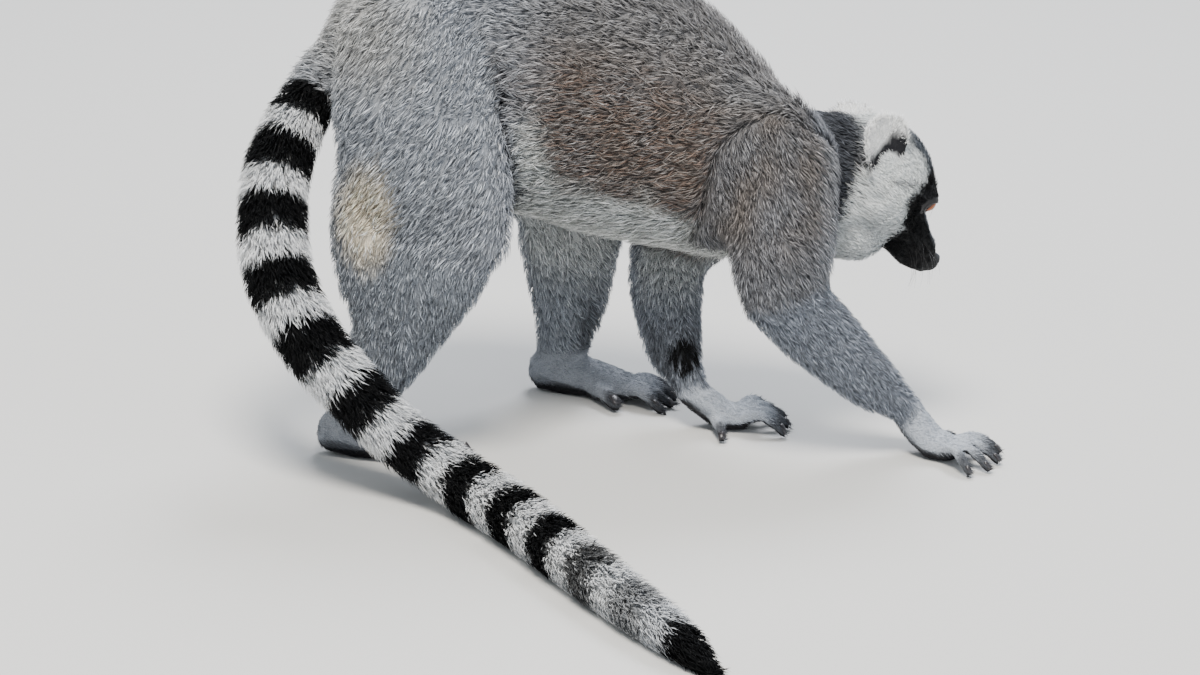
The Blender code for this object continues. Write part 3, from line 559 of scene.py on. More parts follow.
def head_marks(colour, points, normals, values, ragged):
    """Crown, brow, muzzle, eye patches and ears. Ahead, wide and up are along the head's axes."""
    face = values[:, IN_HEAD]
    places = in_head(points)
    ahead, wide, up = places[:, 0], np.abs(places[:, 1]), places[:, 2]
    crown = soft_step(0.004, 0.010, up) * soft_step(0.0225, 0.0155, wide) * soft_step(-0.024, -0.006, ahead)
    colour = mix(colour, CROWN, face * crown)
    brow = soft_step(0.006, 0.018, ahead) * soft_step(-0.002, 0.004, up) * soft_step(0.0245, 0.0200, wide)
    colour = mix(colour, SLATE, face * brow * 0.75)
    # A thin dark line from the ear towards the brow, 13 mm long.
    along = np.clip(((ahead + 0.003) * 0.68 + (up + 0.0045) * 0.73) / 0.0133, 0, 1)
    gap = np.hypot(ahead + 0.003 - 0.0090 * along, up + 0.0045 - 0.0098 * along)
    colour = mix(colour, SLATE, face * soft_step(0.0017, 0.0006, gap + ragged) * (wide > 0.012) * 0.7)
    # The black muzzle, running back in a slanting edge to the eye patch.
    reach = ahead + 0.22 * up + 0.25 * np.minimum(wide - 0.012, 0) + ragged
    snout = soft_step(0.0225, 0.0250, reach) * (up < 0.002)
    cheek = soft_step(0.0090, 0.0125, ahead + 1.115 * up + 1.5 * ragged) * soft_step(0.006, 0.010, ahead)
    cheek *= soft_step(0.0060, 0.0085, wide) * soft_step(0.0060, 0.0015, up)
    colour = mix(colour, BLACK, face * np.maximum(snout, cheek))
    for eye in EYES.values():
        gap = np.linalg.norm(points - np.array(eye), axis=1) + ragged
        colour = mix(colour, BLACK, face * soft_step(EYE_RADIUS + 0.0095, EYE_RADIUS + 0.0075, gap))
    # A grey bridge between the eye patches.
    bridge = soft_step(0.0080, 0.0045, wide) * soft_step(-0.006, 0.001, up) * soft_step(0.017, 0.010, up)
    colour = mix(colour, HAUNCH, face * bridge * soft_step(0.008, 0.014, ahead) * 0.55)
    if values[:, IN_EAR].max() > 0.2:
        hollow = ear_hollow(places, normals @ HEAD_AXES.T)
        colour = mix(colour, DARK_SKIN, soft_step(0.15, 0.4, values[:, IN_EAR]) * hollow)
    return colour


# Twelve black rings and a black tip. They start closer together near the root of the tail.
RINGS, FIRST_GAP, GAP_GROWTH = 12, 0.0340, 0.0005
RING_SHARE, RING_THINNING = 0.65, 0.009


def ring_of(run):
    """1 in the tail's black rings and its tip, 0 in the white ones; run is in metres from the root."""
    number = (-FIRST_GAP + np.sqrt(FIRST_GAP**2 + 4 * GAP_GROWTH * np.maximum(run, 0))) / (2 * GAP_GROWTH)
    phase = number - np.floor(number)
    share = RING_SHARE - RING_THINNING * number
    dark = soft_step(0.0, 0.04, phase) * soft_step(share + 0.02, share - 0.02, phase)
    faint = 1 - 0.45 * soft_step(9.6, 11.5, number)
    return np.where(number > RINGS, 1.0, dark * faint)


def tail_marks(colour, points, values, ragged, shift):
    """The rings, over a white that turns greyer towards the tip."""
    tail = values[:, IN_TAIL]
    if tail.max() <= 0.3:
        return colour
    slot = nearest_on(tail_line, points)
    run = slot * tail_length / (TAIL_STEPS - 1) + ragged * (0.8 + slot / 70) + shift
    white = np.tile(linear(GROUND["tail"]), (len(run), 1))
    white = mix(white, HAUNCH, soft_step(0.40, 0.48, run) * 0.45)
    worn = mix(white, BLACK, ring_of(run))
    return colour + (worn - colour) * soft_step(0.35, 0.65, tail)[:, None]


def paw_marks(colour, points, normals, values, ragged):
    """Dark skin on the palms, the soles and the tips of the fingers and toes."""
    under = soft_step(0.1, 0.6, -normals[:, 2])
    fingers = np.zeros(len(points))
    for tip, _, _, _ in tips:
        gap = np.linalg.norm((points - tip) * (1, 1, 0.4), axis=1)
        fingers = np.maximum(fingers, soft_step(0.0130, 0.0055, gap + ragged))
    paw = values[:, IN_HAND] + values[:, IN_FOOT]
    return mix(colour, DARK_SKIN, paw * np.maximum(under, fingers * 0.85))


def marked(points, normals, values, ragged, shift=0.006):
    """The coat's colour at these points of the hide. Ragged moves edges by a little for each hair,
    and shift is how far along the tail from its root a hair shows, both in metres."""
    colour = body_marks(values[:, :3], points, normals, values, ragged)
    colour = neck_marks(colour, points, normals, values)
    colour = head_marks(colour, points, normals, values, ragged)
    colour = tail_marks(colour, points, values, ragged, shift)
    return paw_marks(colour, points, normals, values, ragged)


rng = np.random.default_rng(7)
hide_colour = marked(co, normal, fields, rng.normal(0, 0.001, count))
layer = hide.color_attributes.new("Coat", "FLOAT_COLOR", "POINT")
# The hide is painted at seven tenths of the coat's colour: partly the darker underfur, partly painted shade
# between the hairs.
layer.data.foreach_set("color", np.c_[hide_colour * 0.7, np.ones(count)].astype(np.float32).ravel())
hide.vertices.foreach_set("co", hide_co.astype(np.float32).ravel())
hide.update()
hide.shade_smooth()
SKIN_TRIANGLES = 150000
full = bpy.data.objects.new("full", hide)
bpy.context.scene.collection.objects.link(full)
thin = full.modifiers.new("thin", "DECIMATE")
thin.ratio = SKIN_TRIANGLES / (2 * len(quads))
bpy.context.view_layer.update()
thinned = bpy.data.meshes.new_from_object(full.evaluated_get(bpy.context.evaluated_depsgraph_get()))
bpy.data.objects.remove(full)


def add_node(tree, kind, inputs=None, **settings):
    """Adds a node, sets it, and gives each named input a value or another node's output."""
    made = tree.nodes.new(kind)
    for key, value in settings.items():
        setattr(made, key, value)
    for key, value in (inputs or {}).items():
        if isinstance(value, bpy.types.NodeSocket):
            tree.links.new(value, made.inputs[key])
        else:
            made.inputs[key].default_value = value
    return made


def paint_varied(tree, shader, layer_name, pattern, darkest, lightest):
    """Gives a material the colour painted on its mesh, darker and lighter by a fine pattern."""
    paint = add_node(tree, "ShaderNodeVertexColor", layer_name=layer_name)
    lighter = add_node(
        tree, "ShaderNodeMapRange", {"Value": pattern.outputs["Fac"], "From Min": 0.3, "From Max": 0.7,
                                     "To Min": darkest, "To Max": lightest}
    )
    shaded = add_node(
        tree, "ShaderNodeHueSaturation", {"Value": lighter.outputs["Result"],
                                          "Color": paint.outputs["Color"]}
    )
    tree.links.new(shaded.outputs["Color"], shader.inputs["Base Color"])


def add_piece(name, mesh, material):
    """Adds a piece of the animal. It rides on the one body and takes the given material."""
    made = bpy.data.objects.new(name, mesh)
    bpy.context.scene.collection.objects.link(made)
    made.data.materials.append(material)
    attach(made, "root")
    return made


# Fine down over skin: soft and dull, so the hide shows no shine between the tufts. The down is drawn
# coarser than real hair so that it shows, and its dullness changes in patches of about 4 mm.
DOWN_MM, PATCH_MM = 0.67, 3.85
leather, tree, shader = new_material("Lemur_Skin_And_Underfur", Specular_IOR_Level=0.25)
place = add_node(tree, "ShaderNodeTexCoord")
down_grain = add_node(
    tree, "ShaderNodeTexNoise", {"Vector": place.outputs["Object"], "Scale": 1000 / DOWN_MM, "Detail": 3.0}
)
patches = add_node(
    tree, "ShaderNodeTexNoise", {"Vector": place.outputs["Object"], "Scale": 1000 / PATCH_MM, "Detail": 2.0}
)
paint_varied(tree, shader, "Coat", down_grain, 0.72, 1.22)
dull = add_node(
    tree, "ShaderNodeMapRange", {"Value": patches.outputs["Fac"], "From Min": 0.3, "From Max": 0.7,
                                 "To Min": 0.55, "To Max": 0.85}
)
tree.links.new(dull.outputs["Result"], shader.inputs["Roughness"])
relief = add_node(
    tree, "ShaderNodeBump", {"Height": down_grain.outputs["Fac"], "Strength": 0.7, "Distance": 0.0005}
)
tree.links.new(relief.outputs["Normal"], shader.inputs["Normal"])
thinned.materials.clear()
skin = add_piece("skin", thinned, leather)
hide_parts(*[name for name in FLESH if name != "nose"])


# ---------------------------------------------------------------- the coat
# Hair in fine pointed tufts, each a closed three-sided spike that leaves the hide steeply, bends
# over and lies along the body, its tip at the outline. Neighbours lean together into locks.
# Guard hair is dry and hardly shines. Its strands, drawn about 0.4 mm apart so that they show, make
# each tuft a little streaky in colour, dullness and relief.
STRAND_MM = 0.42
hair, tree, shader = new_material("Lemur_Guard_Hair", Specular_IOR_Level=0.16)
place = add_node(tree, "ShaderNodeTexCoord")
strands = add_node(
    tree, "ShaderNodeTexNoise", {"Vector": place.outputs["Object"], "Scale": 1000 / STRAND_MM,
                                 "Detail": 1.0}
)
paint_varied(tree, shader, "Coat", strands, 0.82, 1.14)
dull = add_node(
    tree, "ShaderNodeMapRange", {"Value": strands.outputs["Fac"], "From Min": 0.3, "From Max": 0.7,
                                 "To Min": 0.5, "To Max": 0.72}
)
tree.links.new(dull.outputs["Result"], shader.inputs["Roughness"])
relief = add_node(
    tree, "ShaderNodeBump", {"Height": strands.outputs["Fac"], "Strength": 0.4, "Distance": 0.0002}
)
tree.links.new(relief.outputs["Normal"], shader.inputs["Normal"])

quad_points = hide_co[quads]
quad_area = 0.5 * np.linalg.norm(
    np.cross(quad_points[:, 2] - quad_points[:, 0], quad_points[:, 3] - quad_points[:, 1]), axis=1
)
quad_owner = owner[quads[:, 0]]


def spots(names, density):
    """Random places on the hide of these parts: returns quads and shares of their corners."""
    wanted = np.isin(quad_owner, [FLESH.index(name) for name in names])
    expected = quad_area * 1e6 * style[quads[:, 0], THICKNESS] * density * wanted
    expected *= 1 - bare[quads[:, 0]]
    number = rng.poisson(expected)
    chosen = np.repeat(np.arange(len(quads)), number)
    a, b = rng.random((2, len(chosen), 1))
    shares = np.concatenate(((1 - a) * (1 - b), a * (1 - b), a * b, (1 - a) * b), 1)
    return chosen, shares


def at(values, chosen, shares):
    """Values of the hide's corners, at places inside its quads."""
    return (values[quads[chosen]] * shares[:, :, None]).sum(1)


def add_tufts(name, path, half, flat, colours, corners_uv):
    """Closed three-sided spikes along paths: path is (tufts, rings + 1, 3), the last row the tip.
    Half is half the width at each ring, flat the way out of the hide, and corners_uv the unwrap."""
    total, stations = path.shape[:2]
    rings = stations - 1
    way = unit(np.gradient(path, axis=1))
    flank = unit(np.cross(way, flat[:, None, :]))
    top = np.cross(flank, way)
    body = []
    for ring in range(rings):
        centre, wide = path[:, ring], half[:, ring, None]
        across = flank[:, ring] * wide
        body += [centre - across, centre + top[:, ring] * wide * 0.8, centre + across]
    body.append(path[:, -1])
    verts = np.stack(body, 1)
    per = 3 * rings + 1
    faces = [(0, 2, 1)]
    for ring in range(rings - 1):
        for c in range(3):
            d = (c + 1) % 3
            faces.append((3 * ring + c, 3 * ring + d, 3 * ring + 3 + d, 3 * ring + 3 + c))
    faces += [(3 * rings - 3 + c, 3 * rings - 3 + (c + 1) % 3, 3 * rings) for c in range(3)]
    sizes = np.tile([len(face) for face in faces], total)
    pattern = np.concatenate(faces)
    loops = (pattern[None, :] + (np.arange(total) * per)[:, None]).ravel()
    mesh = bpy.data.meshes.new(name)
    mesh.vertices.add(total * per)
    mesh.vertices.foreach_set("co", verts.astype(np.float32).ravel())
    mesh.loops.add(len(loops))
    mesh.loops.foreach_set("vertex_index", loops.astype(np.int32))
    mesh.polygons.add(len(sizes))
    mesh.polygons.foreach_set("loop_start", np.concatenate(([0], np.cumsum(sizes)[:-1])).astype(np.int32))
    mesh.update(calc_edges=True)
    mesh.shade_smooth()
    shades = np.repeat(colours, [3] * rings + [1], axis=1).reshape(-1, 3)
    layer = mesh.color_attributes.new("Coat", "FLOAT_COLOR", "POINT")
    layer.data.foreach_set("color", np.c_[shades, np.ones(len(shades))].astype(np.float32).ravel())
    spreads = np.array([(x, ring / rings) for ring in range(rings) for x in (0, 0.5, 1)] + [(0.5, 1)])
    places = (corners_uv[:, None, :] + (spreads[None] - 0.5) * 0.003).reshape(-1, 2)
    unwrap = mesh.uv_layers.new(name="OFBake")
    unwrap.data.foreach_set("uv", places[loops].astype(np.float32).ravel())
    add_piece(name, mesh, hair)


def unwrapped(points, names, parts):
    """Each part rolled out round its long axis into its own cell of a square."""
    places = np.zeros((len(points), 2))
    for index in np.unique(parts):
        here = parts == index
        shape_points = SHAPES[FLESH[index]]
        centre = shape_points.mean(0)
        _, _, axes = np.linalg.svd(shape_points - centre, full_matrices=False)
        local = (points[here] - centre) @ axes.T
        run = (shape_points - centre) @ axes[0]
        u = np.arctan2(local[:, 2], local[:, 1]) / (2 * pi) + 0.5
        v = np.clip((local[:, 0] - run.min()) / (run.max() - run.min()), 0, 1)
        column, row = index % 6, index // 6
        places[here] = np.stack((column + 0.03 + 0.94 * u, row + 0.03 + 0.94 * v), 1) / (6, 5)
    return places


LOCK_SIZE = 22


def grow_coat(piece, names, density, fleck=0.30, lock=0.45, deep=0.5):
    """Covers these parts of the hide with tufts. Fleck is how much they differ in shade, lock how far
    neighbours lean together, and deep how dark they are at the root."""
    chosen, shares = spots(names, density)
    root = at(hide_co, chosen, shares)
    out = unit(at(normal, chosen, shares))
    settings = at(style, chosen, shares)
    values = at(fields, chosen, shares)
    total = len(root)
    # The way each tuft lies, how far it rises from the hide, and how far it reaches along it.
    lie = settings[:, :3] - out * (settings[:, :3] * out).sum(1)[:, None]
    lie = unit(lie)
    side = np.cross(out, lie)
    lie = unit(lie + side * rng.normal(0, 0.20, (total, 1)))
    length = settings[:, LENGTH] * rng.uniform(0.7, 1.15, total)
    rise = np.minimum(settings[:, DEPTH] * rng.uniform(0.45, 1.08, total) + 0.0003, 0.8 * length)
    reach = np.sqrt(length**2 - rise**2)
    # One tuft in each lock leads, and the others lean towards the nearest leader.
    leaders = rng.choice(total, max(total // LOCK_SIZE, 1), replace=False)
    tree_of = KDTree(len(leaders))
    for i, leader in enumerate(leaders):
        tree_of.insert(root[leader], i)
    tree_of.balance()
    mate = root[leaders[[tree_of.find(p)[1] for p in root]]]
    pull = (mate - root) * lock
    pull -= out * (pull * out).sum(1)[:, None]
    # Root, bend and tip, none of them under the floor.
    along = np.array([0, 0.5, 1.0])
    path = root[:, None, :] + lie[:, None, :] * (reach[:, None] * along)[:, :, None]
    path += out[:, None, :] * (rise[:, None] * (1 - (1 - along) ** 1.9) - 0.0005)[:, :, None]
    path += pull[:, None, :] * (along**1.5)[None, :, None]
    bend = rng.normal(0, 0.05, total) * length
    path += side[:, None, :] * (bend[:, None] * along**2)[:, :, None]
    half = settings[:, WIDTH, None] / 2 * rng.uniform(0.7, 1.2, (total, 1)) * np.array([0.8, 0.9])
    path[:, :, 2] = np.maximum(path[:, :, 2], 0.0005)
    colour = marked(root, out, values, rng.normal(0, 0.0009, total), 0.6 * reach)
    colour *= np.exp(rng.normal(0, fleck, total))[:, None]
    shade = np.array([deep, 0.95, 1.12])
    colours = np.clip(colour[:, None, :] * shade[None, :, None], 0, 0.95)
    # Where the coat is flecked, three tufts in ten have dark tips.
    dark_tip = rng.random(total) < 0.30 * (fleck > 0.2)
    colours[dark_tip, -1] *= 0.40
    places = unwrapped(root, FLESH, quad_owner[chosen])
    add_tufts(piece, path, half, out, colours, places)


# How much of the thickness in the coat's table is grown.
scale = 0.95
for name in TAIL:
    grow_coat(f"coat_{name}", [name], scale, fleck=0.08, lock=0.35, deep=0.75)
grow_coat("coat_trunk", ["trunk"], scale * 0.5)
grow_coat("coat_trunk_over", ["trunk"], scale * 0.5)
grow_coat("coat_neck", ["neck"], scale)
grow_coat("coat_head", ["head", "muzzle"], scale, fleck=0.09, lock=0.2, deep=0.65)
grow_coat("coat_ears", ["ear_left", "ear_right"], scale, fleck=0.07, lock=0.2, deep=0.8)
for side, _ in SIDES:
    for limb in ("upper_arm", "forearm", "thigh", "shin"):
        grow_coat(f"coat_{limb}_{side}", [f"{limb}_{side}"], scale)
    grow_coat(
        f"coat_feet_{side}", [f"hand_{side}", f"foot_{side}"], scale, fleck=0.12, lock=0.2
    )

# ---------------------------------------------------------------- the eyes
# Large round eyes, amber with a small black pupil, dark where the iris meets the white, all under a
# clear wet cornea. The dark outer iris is a real rim drawn wide as painted shade, so that the eye looks
# dark from the side. They look ahead and outwards from deep in the black patches of the face.
hide_tree = BVHTree.FromPolygons(hide_co.tolist(), quads.tolist())
IRIS_EDGE, PUPIL_EDGE, CORNEA_RISE = radians(38), radians(15), 0.0005
AMBER, AMBER_DEEP, AMBER_PALE = linear("8E4306"), linear("3A1504"), linear("B8700F")
EYE_GAZE = radians(34)
# Painted amber under clear glass, as a taxidermist's eye is made: a sharp small highlight over
# flecks of about 0.6 mm in the iris.
FLECK_MM = 0.62
wet, tree, shader = new_material(
    "Glass_Eye_Amber", Roughness=0.12, Specular_IOR_Level=0.2, Coat_Weight=0.5, Coat_Roughness=0.03
)
place = add_node(tree, "ShaderNodeTexCoord")
flecks = add_node(
    tree, "ShaderNodeTexNoise", {"Vector": place.outputs["Object"], "Scale": 1000 / FLECK_MM, "Detail": 2.0}
)
paint_varied(tree, shader, "Iris", flecks, 0.8, 1.2)

# Bare skin of the lids: black, a little damp, with pores about 0.6 mm apart.
PORE_MM = 0.59
lid_skin, tree, shader = new_material("Bare_Black_Skin", Specular_IOR_Level=0.35)
paint = add_node(tree, "ShaderNodeVertexColor", layer_name="Coat")
place = add_node(tree, "ShaderNodeTexCoord")
pores = add_node(
    tree, "ShaderNodeTexVoronoi", {"Vector": place.outputs["Object"], "Scale": 1000 / PORE_MM}
)
tree.links.new(paint.outputs["Color"], shader.inputs["Base Color"])
damp = add_node(
    tree, "ShaderNodeMapRange", {"Value": pores.outputs["Distance"], "From Max": 0.8,
                                 "To Min": 0.30, "To Max": 0.5}
)
tree.links.new(damp.outputs["Result"], shader.inputs["Roughness"])
relief = add_node(
    tree, "ShaderNodeBump", {"Height": pores.outputs["Distance"], "Strength": 0.6, "Distance": 0.0002}
)
tree.links.new(relief.outputs["Normal"], shader.inputs["Normal"])


def add_rounds(name, rows, colours, layer_name, material, close_end=True):
    """A smooth piece from rows of points round a loop; the last row can be one point many times."""
    rows, colours = np.array(rows), np.array(colours)
    count_rows, round_count = rows.shape[:2]
    mesh = bpy.data.meshes.new(name)
    faces = []
    for row in range(count_rows - 1):
        for k in range(round_count):
            m = (k + 1) % round_count
            faces.append(
                (row * round_count + k, row * round_count + m, (row + 1) * round_count + m,
                 (row + 1) * round_count + k)
            )
    mesh.from_pydata(rows.reshape(-1, 3).tolist(), [], faces)
    layer = mesh.color_attributes.new(layer_name, "FLOAT_COLOR", "POINT")
    shades = np.c_[colours.reshape(-1, 3), np.ones(count_rows * round_count)]
    layer.data.foreach_set("color", shades.astype(np.float32).ravel())
    cleaned = bmesh.new()
    cleaned.from_mesh(mesh)
    bmesh.ops.remove_doubles(cleaned, verts=cleaned.verts, dist=1e-6)
    if close_end:
        bmesh.ops.holes_fill(cleaned, edges=cleaned.edges)
    bmesh.ops.recalc_face_normals(cleaned, faces=cleaned.faces)
    cleaned.to_mesh(mesh)
    cleaned.free()
    mesh.shade_smooth()
    return add_piece(name, mesh, material)


# Points round each ring of the eyes, lids and nose, the hairs on the lids of one eye, and the fine
# uneven spokes of the iris.
ROUND, LID_HAIRS = 96, 900
lid_roots, lid_outs, lid_lies = [], [], []
turns = np.linspace(0, 2 * pi, ROUND, endpoint=False)
spokes = sum(np.cos(turns * n + n) for n in (7, 11, 17, 23, 31)) / 5
for side, way in SIDES:
    gaze = from_head(cos(EYE_GAZE), way * sin(EYE_GAZE), -0.02) - from_head(0, 0, 0)
    gaze = np.array(gaze.normalized())
    towards_nose = unit(np.cross(np.array(head_u), gaze) * way)
    towards_nose = unit(towards_nose - 0.30 * np.array(head_u))
    towards_nose = unit(towards_nose - gaze * (towards_nose @ gaze))
    raised = unit(np.cross(gaze, towards_nose))
    raised *= np.sign(raised @ np.array(head_u))
    middle = np.array(EYES[side])
    rows, colours = [], []
    for tilt in np.linspace(0, pi, 40):
        bulge = CORNEA_RISE * max(cos(tilt / IRIS_EDGE * pi / 2), 0) if tilt < IRIS_EDGE else 0
        radius = EYE_RADIUS - 0.00045 + bulge
        ray = np.cos(turns)[:, None] * towards_nose + np.sin(turns)[:, None] * raised
        rows.append(middle + radius * (ray * sin(tilt) + gaze * cos(tilt)))
        share = np.clip((tilt - PUPIL_EDGE) / (IRIS_EDGE - PUPIL_EDGE) + 0.05 * spokes, 0, 1)
        iris = mix(np.tile(AMBER_PALE, (ROUND, 1)), AMBER, soft_step(0.0, 0.35, share))
        # The outer iris turns deep brown: a real dark rim, drawn wide as painted shade.
        iris = mix(iris, AMBER_DEEP, np.clip(soft_step(0.55, 0.95, share) + 0.35 * spokes, 0, 1))
        beyond = float(soft_step(IRIS_EDGE - 0.10, IRIS_EDGE, tilt))
        within = float(soft_step(PUPIL_EDGE + 0.03, PUPIL_EDGE - 0.03, tilt))
        iris = mix(iris, linear("120A06"), np.full(ROUND, beyond))
        iris = mix(iris, linear("030303"), np.full(ROUND, within))
        colours.append(iris)
    eyeball = add_rounds(f"eyeball_{side}", rows, colours, "Iris", wet)
    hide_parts(f"eye_{side}")

    # The lids: a thick dark rim hugging the eyeball round an almond opening, then a fold of skin, each
    # ring given by its degrees past the opening, its lift off the eyeball and its shade.
    rows, colours = [], []
    ray = np.cos(turns)[:, None] * towards_nose + np.sin(turns)[:, None] * raised
    opening = radians(39) + radians(11) * np.abs(np.cos(turns)) ** 3
    opening -= radians(5) * soft_step(0.2, 1.0, np.sin(turns))
    for further, lift, shade in (
        (2, -0.0004, 0.5), (0, 0.0001, 0.6), (2, 0.0005, 1.1), (5, 0.0007, 1.0), (9, 0.0005, 0.6),
        (14, 0.0007, 0.8),
    ):
        tilt = opening + radians(further)
        ring = ray * np.sin(tilt)[:, None] + gaze * np.cos(tilt)[:, None]
        rows.append(middle + (EYE_RADIUS + lift) * ring)
        colours.append(np.tile(np.array(linear("141417")) * shade, (ROUND, 1)))
    # From there the lid's skin runs out to the hide around the socket and just under it.
    brim = EYE_RADIUS + 0.0034
    heights = np.full(ROUND, -0.3 * EYE_RADIUS)
    for k in range(ROUND):
        start = middle + ray[k] * brim + gaze * 0.02
        hit = hide_tree.ray_cast(Vector(start), Vector(-gaze))
        if hit[0] is not None:
            heights[k] = (np.array(hit[0]) - middle) @ gaze
    for _ in range(6):
        heights = 0.5 * heights + 0.25 * (np.roll(heights, 1) + np.roll(heights, -1))
    inner, outer = rows[-1], middle + ray * brim + gaze * (heights - 0.0005)[:, None]
    for t in (0.2, 0.4, 0.6, 0.8, 1.0):
        fold = 0.0007 * sin(pi * t)
        rows.append(inner + (outer - inner) * t + gaze * fold)
        colours.append(np.tile(np.array(linear("101013")) * (0.9 - 0.3 * t), (ROUND, 1)))
    add_rounds(f"lids_{side}", rows, colours, "Coat", lid_skin, close_end=False)

    # Short black hair over all of the lids but their bare rims.
    rows = np.array(rows)
    out_row, turn = rng.uniform(5.6, 9.9, LID_HAIRS), rng.integers(0, ROUND, LID_HAIRS)
    inner, part = out_row.astype(int), (out_row % 1)[:, None]
    lid_roots.append(rows[inner, turn] * (1 - part) + rows[inner + 1, turn] * part)
    slope = unit(rows[inner + 1, turn] - rows[inner, turn])
    round_way = unit(rows[inner, (turn + 1) % ROUND] - rows[inner, turn])
    outs = unit(np.cross(slope, round_way))
    outs *= np.sign((outs @ gaze))[:, None]
    lid_outs.append(outs)
    lid_lies.append(unit(slope + round_way * rng.normal(0, 0.25, (LID_HAIRS, 1))))


root, out, lie = np.concatenate(lid_roots), np.concatenate(lid_outs), np.concatenate(lid_lies)
reach = rng.uniform(0.0018, 0.0032, (len(root), 1, 1))
along = np.array([0, 0.5, 1.0])[None, :, None]
path = root[:, None] + lie[:, None] * reach * along
path += out[:, None] * (0.0009 * (1 - (1 - along) ** 1.9) - 0.0003)
shades = np.array(BLACK) * np.exp(rng.normal(0, 0.3, (len(root), 1, 1))) * np.ones((1, 3, 1)) * 1.4
half = np.tile((0.00015, 0.00017), (len(root), 1))
places = unwrapped(root, FLESH, np.full(len(root), FLESH.index("head")))
add_tufts("coat_lids", path, half, out, shades, places)


# ---------------------------------------------------------------- the nose
# The moist black pad at the tip of the muzzle, with a groove down its middle and two comma-shaped
# nostrils that open forwards and sweep out to the sides.
NOSE_HALVES = (0.0046, 0.0052, 0.0049)
# Nose leather: black and pebbled in cells of about 0.7 mm, with a thin moist film.
CELL_MM = 0.67
wet_pad, tree, shader = new_material("Moist_Nose_Leather", Coat_Weight=0.2, Coat_Roughness=0.35)
paint = add_node(tree, "ShaderNodeVertexColor", layer_name="Coat")
place = add_node(tree, "ShaderNodeTexCoord")
cells = add_node(
    tree, "ShaderNodeTexVoronoi", {"Vector": place.outputs["Object"], "Scale": 1000 / CELL_MM}
)
tree.links.new(paint.outputs["Color"], shader.inputs["Base Color"])
damp = add_node(
    tree, "ShaderNodeMapRange", {"Value": cells.outputs["Distance"], "From Max": 0.7,
                                 "To Min": 0.38, "To Max": 0.6}
)
tree.links.new(damp.outputs["Result"], shader.inputs["Roughness"])
relief = add_node(
    tree, "ShaderNodeBump", {"Height": cells.outputs["Distance"], "Strength": 0.7, "Distance": 0.0002}
)
tree.links.new(relief.outputs["Normal"], shader.inputs["Normal"])
nose_points = in_head(SHAPES["nose"])
nose_place = np.array((nose_points[:, 0].max() - 0.0058, 0, nose_points[:, 2].max() - 0.0082))
rows, colours = [], []
for tilt in np.linspace(0, pi, 60):
    f, s, u = np.full(ROUND, cos(tilt)), sin(tilt) * np.cos(turns), sin(tilt) * np.sin(turns)
    hole = np.exp(-(((np.abs(s) - 0.34 - 0.22 * soft_step(0.1, -0.3, f - 0.75)) / 0.15) ** 2)
                  - ((u + 0.08) / 0.17) ** 2) * (f > 0)
    sweep = np.exp(-(((np.abs(s) - 0.72) / 0.20) ** 2) - ((u + 0.02) / 0.09) ** 2) * (f > 0)
    groove = np.exp(-((s / 0.07) ** 2)) * soft_step(0.25, -0.35, u) * (f > 0)
    sunk = 1 - 0.42 * hole - 0.16 * sweep - 0.10 * groove
    local = np.stack((f, s * (1 + 0.12 * u), u), 1) * NOSE_HALVES * sunk[:, None]
    rows.append(HEAD_MIDDLE + (nose_place + local) @ HEAD_AXES)
    # The nostrils are painted darker than the pad: painted shade for the depth of the holes.
    colours.append(np.tile(linear("19191C"), (ROUND, 1)) * (1 - 0.85 * np.maximum(hole, sweep))[:, None])
nose_pad = add_rounds("nose_pad", rows, colours, "Coat", wet_pad)
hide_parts("nose")


# ---------------------------------------------------------------- the whiskers
# A few stiff dark hairs in rows on each side of the upper lip, and three over each eye.
WHISKER_RADIUS, WHISKER_RINGS, WHISKER_SIDES = 0.00013, 7, 5
whisker_rng = np.random.default_rng(11)
# For each one, its place ahead of the skull's middle, its side, its place up, and its length.
whisker_roots = []
for side, way in SIDES:
    for row in range(3):
        for k in range(4):
            ahead, up = 0.050 - 0.004 * k - 0.001 * row, -0.008 - 0.0042 * row
            whisker_roots.append((ahead, way, up, 0.026 + 0.003 * k))
    for k in range(3):
        whisker_roots.append((0.022 - 0.003 * k, way * 0.6, 0.0100, 0.016))
stalks, faces = [], []
for f, way, u, length in whisker_roots:
    outside = from_head(f + 0.01, way * 0.045, u)
    hit = hide_tree.ray_cast(outside, (from_head(f, 0, u) - outside).normalized())
    if hit[0] is None:
        continue
    aim = from_head(0.25, way * 0.8, -0.25) - from_head(0, 0, 0) + hit[1] * 0.4
    aim = (aim + Vector(whisker_rng.normal(0, 0.12, 3))).normalized()
    droop = from_head(-0.5, 0, -0.6) - from_head(0, 0, 0)
    first = aim.cross(Vector((0, 0, 1))).normalized()
    second = aim.cross(first)
    start = len(stalks)
    for ring in range(WHISKER_RINGS):
        t = ring / (WHISKER_RINGS - 1)
        centre = hit[0] - aim * 0.0006 + aim * length * t + droop * length * 0.35 * t * t
        for corner in range(WHISKER_SIDES):
            turn = 2 * pi * corner / WHISKER_SIDES
            thick = WHISKER_RADIUS * (1 - 0.8 * t)
            stalks.append(centre + (first * cos(turn) + second * sin(turn)) * thick)
    for ring in range(WHISKER_RINGS - 1):
        for corner in range(WHISKER_SIDES):
            after = (corner + 1) % WHISKER_SIDES
            a = start + ring * WHISKER_SIDES
            b = a + WHISKER_SIDES
            faces.append((a + corner, a + after, b + after, b + corner))
    faces.append(tuple(reversed(range(start, start + WHISKER_SIDES))))
    faces.append(tuple(range(len(stalks) - WHISKER_SIDES, len(stalks))))
